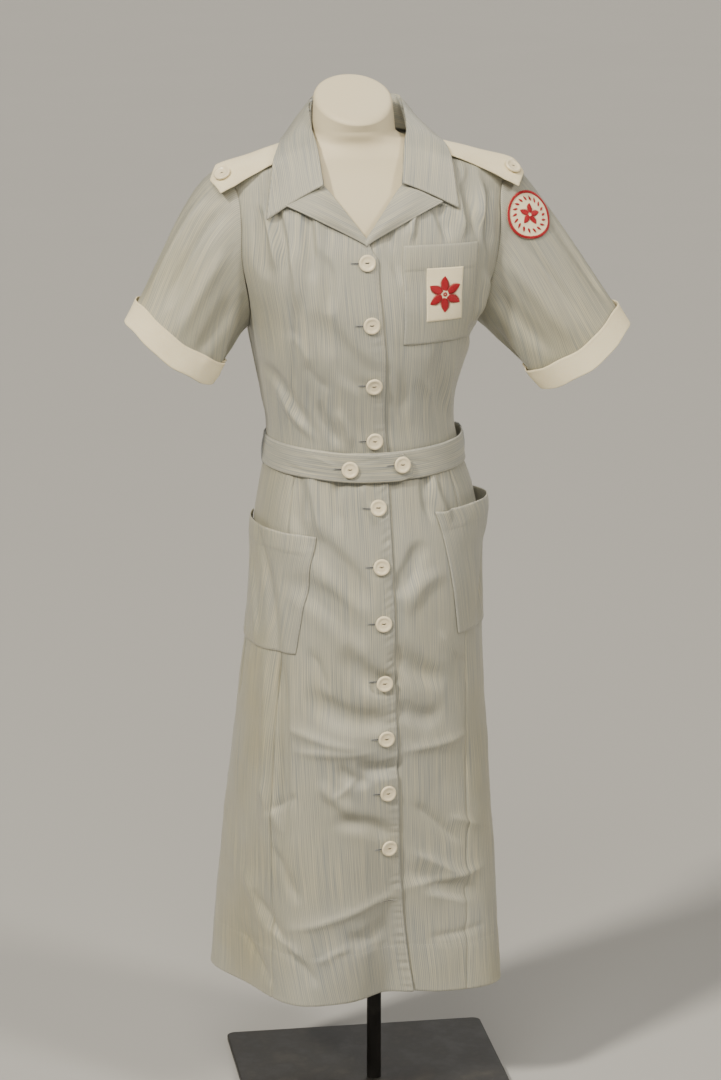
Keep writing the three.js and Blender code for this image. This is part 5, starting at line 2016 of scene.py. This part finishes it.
class DRESS_OT_badges(bpy.types.Operator):
    """Make the cloth badge on the chest pocket and the round one on the left sleeve"""

    bl_idname = "dress.badges"
    bl_label = "Badges"

    def execute(self, context):
        x0, x1, z0, z1 = BADGE_BOX

        def chest(x, z, out=0.0):
            u = (x - CHEST_START) / CHEST_WIDE
            v = (z - CHEST_LOW[2]) / (CHEST_TOP[2] - CHEST_LOW[2])
            lift = LIFT + CLOTH + BADGE_CLOTH + 0.2 + chest_gape(u, v) + out
            return on_body(front_angle(BODY["middle"](z) + x, z), z, lift)

        x, z = np.linspace(x0, x1, 34)[None, :], np.linspace(z0, z1, 44)[:, None]
        x, z = np.broadcast_arrays(x, z)
        sheet = Sheet(chest(x, z))
        edge = np.maximum.reduce([hill(sheet.away(side), 1.3) for side in ALL_SIDES])
        sheet.move(-0.35 * edge)
        obj = sheet.make("patch_pocket", "white", BADGE_CLOTH, worn=ALL_SIDES)
        lines = [sheet.line(side, 2.0) for side in ALL_SIDES]
        hem = sew("patch_pocket_stitches", all_stitches(*lines), "cream_thread")
        middle = np.array([(x0 + x1) / 2, (z0 + z1) / 2])
        pairs = np.array(flower(middle, 6, 3.8, 18.5, 14.0, 0.52, math.pi / 2))
        middle_ring = np.array([(middle + p, middle + q) for p, q in ring_of(1.6, 3.0, 16)])
        pairs = np.concatenate([pairs, middle_ring])
        threads = chest(pairs[..., 0], pairs[..., 1], 0.32)
        bloom = sew("patch_pocket_flower", threads, "red_thread", BADGE_THREAD)
        declare(sheet, [hem, bloom])
        self.round_badge()
        return {"FINISHED"}

    @staticmethod
    def round_badge():
        turn, t, radius = ROUND_BADGE
        around = (sleeve_point("left", turn + 0.05, t) - sleeve_point("left", turn - 0.05, t)) / 0.1
        along = (sleeve_point("left", turn, t + 0.05) - sleeve_point("left", turn, t - 0.05)) / 0.1
        first = unit(around)
        second = unit(along - first * float(along @ first))
        middle = sleeve_point("left", turn, t)

        def spot(x, y, out):
            """Point of the sleeve over a place in the badge's plane, found step by step."""
            aside, down = np.zeros(np.shape(x)), np.zeros(np.shape(x))
            for _ in range(8):
                found = sleeve_point("left", turn + aside, t + down) - middle
                step = (y - found @ second) / float(along @ second)
                down = down + 0.8 * step
                miss = x - found @ first - step * float(along @ first)
                aside = aside + 0.8 * miss / float(around @ first)
            return on_sleeve("left", turn + aside, t + down, out + BADGE_CLOTH + 0.25)

        angle = TAU * np.arange(84) / 84
        rings = np.concatenate([np.linspace(0.02, 0.9, 14), [0.94, 0.97, 1.0]])[:, None] * radius
        x, y = rings * np.cos(angle), rings * np.sin(angle)
        border = 0.7 * smooth(rings / radius, 0.86, 0.93) * (1 - smooth(rings / radius, 0.965, 1.0))
        sheet = Sheet(spot(x, y, border + 0 * x), sign=1, closed=True)
        out = float(np.sum(sheet.normals * (spot(x, y, 1.0 + 0 * x) - spot(x, y, 0 * x)), axis=-1).mean())
        sheet = Sheet(sheet.points, sign=1 if out > 0 else -1, closed=True)
        obj = sheet.make("patch_sleeve", "white", BADGE_CLOTH, slot="badge_cloth")
        up = -math.pi / 2
        border = np.array(ring_of(radius * 0.95, 4.6, 300))
        pairs = flower((0, 0), 5, 1.6, 13.0, 9.5, 0.5, up)
        for k in range(18):
            where = TAU * (k + 0.5) / 18
            spot_at = radius * 0.58 * np.array([math.cos(where), math.sin(where)])
            pairs += petal(spot_at, where + 0.5, 7.0, 3.8, 0.5)
        pairs = np.array(pairs)
        threads = np.concatenate(
            [
                spot(border[..., 0], border[..., 1], np.full(border.shape[:2], 1.05)),
                spot(pairs[..., 0], pairs[..., 1], np.full(pairs.shape[:2], 0.35)),
            ]
        )
        bloom = sew("patch_sleeve_embroidery", threads, "red_thread", BADGE_THREAD)


# Buttons and buttonholes


def button_mesh():
    """One turned button with a rim and two holes, its back at the origin."""
    radius = bpy.context.scene.dress_trim.button_diameter / MM / 2
    flat = np.linspace(0.3, 4.5, 15)
    rows = [(r, BUTTON_FACE) for r in flat] + list(BUTTON_PROFILE)
    ring = TAU * np.arange(44) / 44
    r, h = np.array(rows).T[:, :, None]
    r, h = r * radius / BUTTON_WIDEST, h + 0 * ring
    x, y = r * np.cos(ring), r * np.sin(ring)
    top = np.arange(len(rows))[:, None] < len(flat)
    for at in (-BUTTON_HOLE, BUTTON_HOLE):
        hole = BUTTON_HOLE_DEPTH * (1 - smooth(np.hypot(x - at, y), 0.8, 1.2))
        h = h - np.where(top, hole, 0)
    points = stack(x, y, h).reshape(-1, 3)
    faces = [face[:1] + face[:0:-1] for face in tube_faces(len(rows), len(ring))]
    return mesh_object("button_shape", points, faces, "button")


def button_tree():
    tree = bpy.data.node_groups.get("button_set")
    if tree:
        return tree
    sockets = (
        ("Places", "INPUT", "NodeSocketGeometry"),
        ("Button", "INPUT", "NodeSocketObject"),
        ("Shell", "INPUT", "NodeSocketMaterial"),
        ("Buttons", "OUTPUT", "NodeSocketGeometry"),
    )
    tree = new_tree("button_set", sockets)
    add = tree.nodes.new
    link = tree.links.new
    given = add("NodeGroupInput")
    shape = add("GeometryNodeObjectInfo")
    link(given.outputs["Button"], shape.inputs["Object"])
    turn = add("FunctionNodeAlignRotationToVector")
    turn.axis = "Z"
    link(named_vector(tree, "facing"), turn.inputs["Vector"])
    spin = add("FunctionNodeAlignRotationToVector")
    spin.axis = "X"
    spin.pivot_axis = "Z"
    link(turn.outputs[0], spin.inputs["Rotation"])
    link(named_vector(tree, "level"), spin.inputs["Vector"])
    place = add("GeometryNodeInstanceOnPoints")
    link(given.outputs["Places"], place.inputs["Points"])
    link(shape.outputs["Geometry"], place.inputs["Instance"])
    link(spin.outputs[0], place.inputs["Rotation"])
    give_result(tree, place.outputs[0], given.outputs["Shell"])
    return tree


def button_set(name, shape, places, nodes):
    """Buttons at places (centre, facing, level), and the thread in their holes."""
    mesh = bpy.data.meshes.new(name)
    mesh.from_pydata([(np.asarray(centre) * MM).tolist() for centre, _, _ in places], [], [])
    for key, index in (("facing", 1), ("level", 2)):
        values = np.array([place[index] for place in places], np.float32)
        mesh.attributes.new(key, "FLOAT_VECTOR", "POINT").data.foreach_set("vector", values.ravel())
    obj = link_object(name, mesh)
    modifier = obj.modifiers.new("buttons", "NODES")
    modifier.node_group = button_tree()
    give_inputs(modifier, {"Button": shape, "Shell": finish_of("button")})
    plain_mesh(obj)
    obj.data.shade_smooth()
    settle(obj, "button", *nodes)
    pairs = []
    for centre, facing, level in places:
        across = np.cross(facing, level)
        for shift in (-0.4, 0.0, 0.4):
            foot = np.asarray(centre) + facing * BUTTON_FACE + across * shift
            pairs.append((foot - level * BUTTON_HOLE, foot + level * BUTTON_HOLE))
    # Thread in each hole, near black for painted shade in the holes
    sew(name + "_thread", pairs, "dark_thread", 0.6)
    return obj


def buttonhole(spot, left, right, wide=1.35):
    """Satin stitches round a buttonhole's cut, with a lens of painted shade laid in the cut. spot(x, y)
    gives points on the cloth, x along the cut.
    """
    pairs = []
    for x in np.arange(left, right, 0.52):
        pairs += [((x, 0.28), (x, wide)), ((x, -0.28), (x, -wide))]
    for end in (left - 0.2, left - 0.7, right + 0.2, right + 0.7):
        pairs.append(((end, -wide), (end, wide)))
    pairs = np.array(pairs)
    # Lens of painted shade that fills the cut, narrowing to its ends
    x = np.linspace(left, right, 15)
    share = (2 * x - left - right) / (right - left)
    half = 0.5 * np.sqrt(np.clip(1 - share**2, 0.02, 1))
    return spot(pairs[..., 0], pairs[..., 1]), spot(np.stack([x, x]), np.stack([-half, half]))


class DRESS_OT_buttons(bpy.types.Operator):
    """Make all buttons with their threads and worked buttonholes"""

    bl_idname = "dress.buttons"
    bl_label = "Buttons and buttonholes"

    def execute(self, context):
        shape = button_mesh()
        level = np.array([1.0, 0.0, 0.0])

        def placed(centre, normal):
            return centre, normal, unit(level - normal * float(level @ normal))

        front = []
        for z in BUTTON_HEIGHTS:
            angle = float(opening_angle(z))
            normal = normal_of(body_point, np.array(angle), np.array(float(z)), 0.007, 0.5)
            front.append(placed(on_body(angle, z, BUTTON_CLEAR, detail=1), normal))
        nodes = [f"button_front_{k + 1:02d}" for k in range(len(front))]
        button_set("buttons_front", shape, front, nodes)
        belt = []
        for x, up in BELT_BUTTONS:
            angle, up = np.array(belt_angle(x)), np.array(float(up))
            normal = normal_of(lambda a, b: belt_point(a, b, 0.0), angle, up, 0.007, 0.5)
            out = BELT_CLOTH + float(belt_lap(360)) + BUTTON_CLEAR
            belt.append(placed(belt_point(angle, up, out), normal))
        button_set("buttons_belt", shape, belt, ["button_belt_1", "button_belt_2"])
        straps = []
        across, ahead = (np.array(float(value)) for value in STRAP_BUTTON)
        for side in (-1, 1):
            normal = normal_of(strap_surface(side), across, ahead, 9.0, 9.0)
            normal = normal * np.sign(normal[2])
            straps.append(placed(on_strap(side, across, ahead, np.array(1.1)), normal))
        button_set("buttons_epaulette", shape, straps, ["button_epaulette_right", "button_epaulette_left"])
        bpy.data.objects.remove(shape)
        self.buttonholes()
        return {"FINISHED"}

    @staticmethod
    def buttonholes():
        pairs, slit_shades = [], []
        for z in (*BUTTON_HEIGHTS, EMPTY_BUTTONHOLE_Z):
            angle = float(opening_angle(z))
            reach = float(reach_of(angle, z))

            def spot(x, y, angle=angle, reach=reach, z=z):
                return on_body(angle + x / reach, z + y, 0.62 + 0.5 * smooth(x, -6, 4))

            ends = EMPTY_HOLE if z == EMPTY_BUTTONHOLE_Z else FRONT_HOLE
            found, slit_shade = buttonhole(spot, *ends)
            pairs.append(found)
            slit_shades.append(slit_shade)
        sew("buttonhole_stitches", np.concatenate(pairs[:-1]), "grey_thread", 0.5)
        sew("empty_buttonhole_stitches", pairs[-1], "pale_thread", 0.5)
        belt_pairs = []
        for x, up in BELT_BUTTONS:
            angle = belt_angle(x)

            def spot(a, b, angle=angle, up=up):
                out = BELT_CLOTH + float(belt_lap(360)) + 0.25
                return belt_point(angle + a / BELT_FRONT, up + b, out)

            found, slit_shade = buttonhole(spot, *BELT_HOLE)
            belt_pairs.append(found)
            slit_shades.append(slit_shade)
        sew("belt_buttonhole_stitches", np.concatenate(belt_pairs), "grey_thread", 0.5)
        # One object of near black sheets: painted shade in the cuts of all buttonholes
        points = np.array(slit_shades)
        ids = np.arange(points[..., 0].size).reshape(points.shape[:3])
        faces = np.concatenate([quads_of(grid).reshape(-1, 4) for grid in ids]).tolist()
        dark = mesh_object("buttonhole_slits", points.reshape(-1, 3), faces, "slit_shade")
        settle(dark, "slit_shade")


# Form, stand and stage


class DRESS_OT_form(bpy.types.Operator):
    """Make the smooth dress form, its pole and its base plate"""

    bl_idname = "dress.form"
    bl_label = "Form and stand"

    def execute(self, context):
        settle(self.torso(), "form", "form_torso")
        settle(self.pole(), "metal", "form_pole")
        settle(self.base(), "metal", "form_base")
        return {"FINISHED"}

    @staticmethod
    def torso():
        angle = TAU * np.arange(FORM_SIDES)[None, :] / FORM_SIDES
        z = np.concatenate([np.linspace(640.5, 1200, 70), np.linspace(1204, 1290, 44)])[:, None]

        def ring(height):
            names = ("half", "front", "back", "square")
            reach = oval_reach(angle, *[FORM[name](height) for name in names])
            return FORM["middle"](height) + reach * np.sin(angle), -reach * np.cos(angle)

        x, y = ring(z)
        wall = stack(x, y, z + 0 * x)
        x, y = ring(np.array([[1340.0]]))
        cap = NECK_CAP_Z + y * math.tan(math.radians(NECK_CAP_TILT))
        rim = stack(x, y, cap)
        neck = mix(wall[-1:], rim - np.array([0, 0, 6.0]), np.linspace(0, 1, 26)[1:-1, None, None])
        centre = rim.mean(axis=1, keepdims=True)
        edge = [mix(rim, centre, share) + np.array([0, 0, lift]) for share, lift in NECK_RIM]
        foot = wall[:1].mean(axis=1, keepdims=True)
        under = [mix(wall[:1], foot, share) - np.array([0, 0, 0.4]) for share in (0.95, 0.6, 0.3, 0.03)]
        rows = np.concatenate([*under, wall, neck, *edge])
        faces = tube_faces(len(rows), FORM_SIDES)
        return mesh_object("form_torso_skin", rows.reshape(-1, 3), faces, "form")

    @staticmethod
    def pole():
        rim = POLE_RADIUS - 0.5
        rows = (
            (0.05, POLE_FOOT_Z),
            (rim, POLE_FOOT_Z),
            (POLE_RADIUS, POLE_FOOT_Z + 0.5),
            (POLE_RADIUS, 626),
            (POLE_RADIUS, POLE_TOP_Z - 0.7),
            (rim, POLE_TOP_Z),
            (0.05, POLE_TOP_Z),
        )
        angle = TAU * np.arange(POLE_SIDES)[None, :] / POLE_SIDES
        r, z = np.array(rows).T[:, :, None]
        points = stack(r * np.cos(angle), r * np.sin(angle), z + 0 * angle)
        faces = tube_faces(len(points), POLE_SIDES)
        return mesh_object("form_pole_tube", points.reshape(-1, 3), faces, "metal")

    @staticmethod
    def base():
        straight = BASE_HALF - BASE_CORNER
        outline = []
        for k, (x, y) in enumerate(((1, 1), (-1, 1), (-1, -1), (1, -1))):
            for a in np.linspace(0, math.pi / 2, 9) + k * math.pi / 2:
                turn = np.array([math.cos(a), math.sin(a)])
                outline.append(straight * np.array([x, y]) + BASE_CORNER * turn)
        outline = np.array(outline)
        rows = []
        soft = 0.35 * BASE_BEVEL
        levels = (
            (BASE_BEVEL, 0.0),
            (0.0, BASE_BEVEL),
            (0.0, BASE_TALL - BASE_BEVEL),
            (soft, BASE_TALL - soft),
            (BASE_BEVEL, BASE_TALL),
        )
        for inset, z in levels:
            scale = (BASE_HALF - inset) / BASE_HALF
            rows.append(stack(outline[:, 0] * scale, outline[:, 1] * scale, z))
        faces = tube_faces(len(rows), len(outline))
        obj = mesh_object("form_base_plate", np.concatenate(rows), faces, "metal")
        for face in list(obj.data.polygons)[-2:]:
            face.use_smooth = False
        return obj


CAMERA_AZIMUTH = -9
CAMERA_ELEVATION = 15
CAMERA_DISTANCE = 4.5
CAMERA_LENS = 116.27
CAMERA_TARGET = (-0.0178, 0.0028, 0.754)
FLOOR_HALF = 40000.0
FLOOR_Z = -0.4
LIGHT_TARGET = (0, 0, 0.75)
# Lamps: place, how far the light spreads, share of the key light's strength, colour
LAMPS = {
    "key_light": ((-2.9, -2.1, 4.0), 0.12, 1.0, (1.0, 0.92, 0.77)),
    "side_light": ((2.7, -2.5, 3.3), 0.20, 0.46, (1.0, 0.92, 0.78)),
    "back_light": ((1.2, 3.0, 3.8), 0.60, 0.22, (1.0, 0.96, 0.9)),
}
TOP_LIGHT_PLACE = (-0.45, -1.6, 2.75)
TOP_LIGHT_TARGET = (0, 0, 1.2)


def aim(data, place, target):
    """A camera or lamp at a place, looking at its target."""
    obj = link_object(data.name, data)
    obj.location = place
    obj.rotation_euler = (Vector(target) - Vector(place)).to_track_quat("-Z", "Y").to_euler()
    return obj


class DRESS_OT_stage(bpy.types.Operator):
    """Set the camera, the floor and the soft studio light"""

    bl_idname = "dress.stage"
    bl_label = "Stage"

    def execute(self, context):
        self.camera(context)
        self.floor(context)
        self.lights(context)
        return {"FINISHED"}

    @staticmethod
    def camera(context):
        data = bpy.data.cameras.new("camera")
        data.sensor_fit = "VERTICAL"
        data.sensor_height = 36.0
        data.lens = CAMERA_LENS
        data.clip_end = 100.0
        a, e = math.radians(CAMERA_AZIMUTH), math.radians(CAMERA_ELEVATION)
        away = Vector((math.sin(a) * math.cos(e), -math.cos(a) * math.cos(e), math.sin(e)))
        place = Vector(CAMERA_TARGET) + away * CAMERA_DISTANCE
        context.scene.camera = aim(data, place, CAMERA_TARGET)

    @staticmethod
    def floor(context):
        f = Finish("floor", Specular_IOR_Level=0.2)
        cloud = f.noise(f.place(), 1.2, 3.0)
        pale = rgba(context.scene.dress_stage.floor_colour)
        colour = f.blend(f.spread(cloud, 0.3, 0.7, 0.0, 0.12), pale, (0.395, 0.395, 0.39, 1.0))
        f.surface(colour, f.spread(cloud, 0.3, 0.7, 0.75, 0.9))
        FINISHES["floor"] = f.material
        corners = ((-1, -1), (1, -1), (1, 1), (-1, 1))
        points = np.array([(FLOOR_HALF * x, FLOOR_HALF * y, FLOOR_Z) for x, y in corners])
        mesh_object("floor", points, [[0, 1, 2, 3]], "floor")

    @staticmethod
    def lights(context):
        power = context.scene.dress_stage.key_power
        for name, (place, spread, share, colour) in LAMPS.items():
            data = bpy.data.lights.new(name, "SUN")
            data.angle = spread
            data.energy = power * share
            data.color = colour
            aim(data, place, LIGHT_TARGET)
        data = bpy.data.lights.new("top_light", "AREA")
        data.size = 1.2
        data.energy = 10.0 * power
        data.color = (1.0, 0.93, 0.8)
        aim(data, TOP_LIGHT_PLACE, TOP_LIGHT_TARGET)
        world = bpy.data.worlds.new("studio")
        world.use_nodes = True
        ground = world.node_tree.nodes["Background"]
        ground.inputs["Color"].default_value = (1.0, 0.96, 0.88, 1.0)
        ground.inputs["Strength"].default_value = 0.1
        context.scene.world = world


class DRESS_PT_panel(bpy.types.Panel):
    """Lists the pieces of the dress and the values to change"""

    bl_idname = "DRESS_PT_panel"
    bl_label = "Nurse Uniform Dress"
    bl_space_type = "VIEW_3D"
    bl_region_type = "UI"
    bl_category = "Dress"

    def draw(self, context):
        layout = self.layout
        for group in ("dress_cloth", "dress_trim", "dress_stage"):
            values = getattr(context.scene, group)
            box = layout.box()
            for name in values.__annotations__:
                box.prop(values, name)
        for operator in OPERATORS:
            layout.operator(operator.bl_idname)


GROUPS = (("dress_cloth", DressCloth), ("dress_trim", DressTrim), ("dress_stage", DressStage))
OPERATORS = (
    DRESS_OT_stage,
    DRESS_OT_form,
    DRESS_OT_skirt,
    DRESS_OT_bodice,
    DRESS_OT_collar,
    DRESS_OT_sleeves,
    DRESS_OT_pockets,
    DRESS_OT_belt,
    DRESS_OT_straps,
    DRESS_OT_badges,
    DRESS_OT_buttons,
)


def register():
    for name, group in GROUPS:
        bpy.utils.register_class(group)
        setattr(bpy.types.Scene, name, bpy.props.PointerProperty(type=group))
    for operator in OPERATORS:
        bpy.utils.register_class(operator)
    bpy.utils.register_class(DRESS_PT_panel)


def unregister():
    bpy.utils.unregister_class(DRESS_PT_panel)
    for operator in reversed(OPERATORS):
        bpy.utils.unregister_class(operator)
    for name, group in reversed(GROUPS):
        delattr(bpy.types.Scene, name)
        bpy.utils.unregister_class(group)


def main():
    register()
    for operator in OPERATORS:
        group, name = operator.bl_idname.split(".")
        getattr(getattr(bpy.ops, group), name)()


if __name__ == "__main__":
    main()
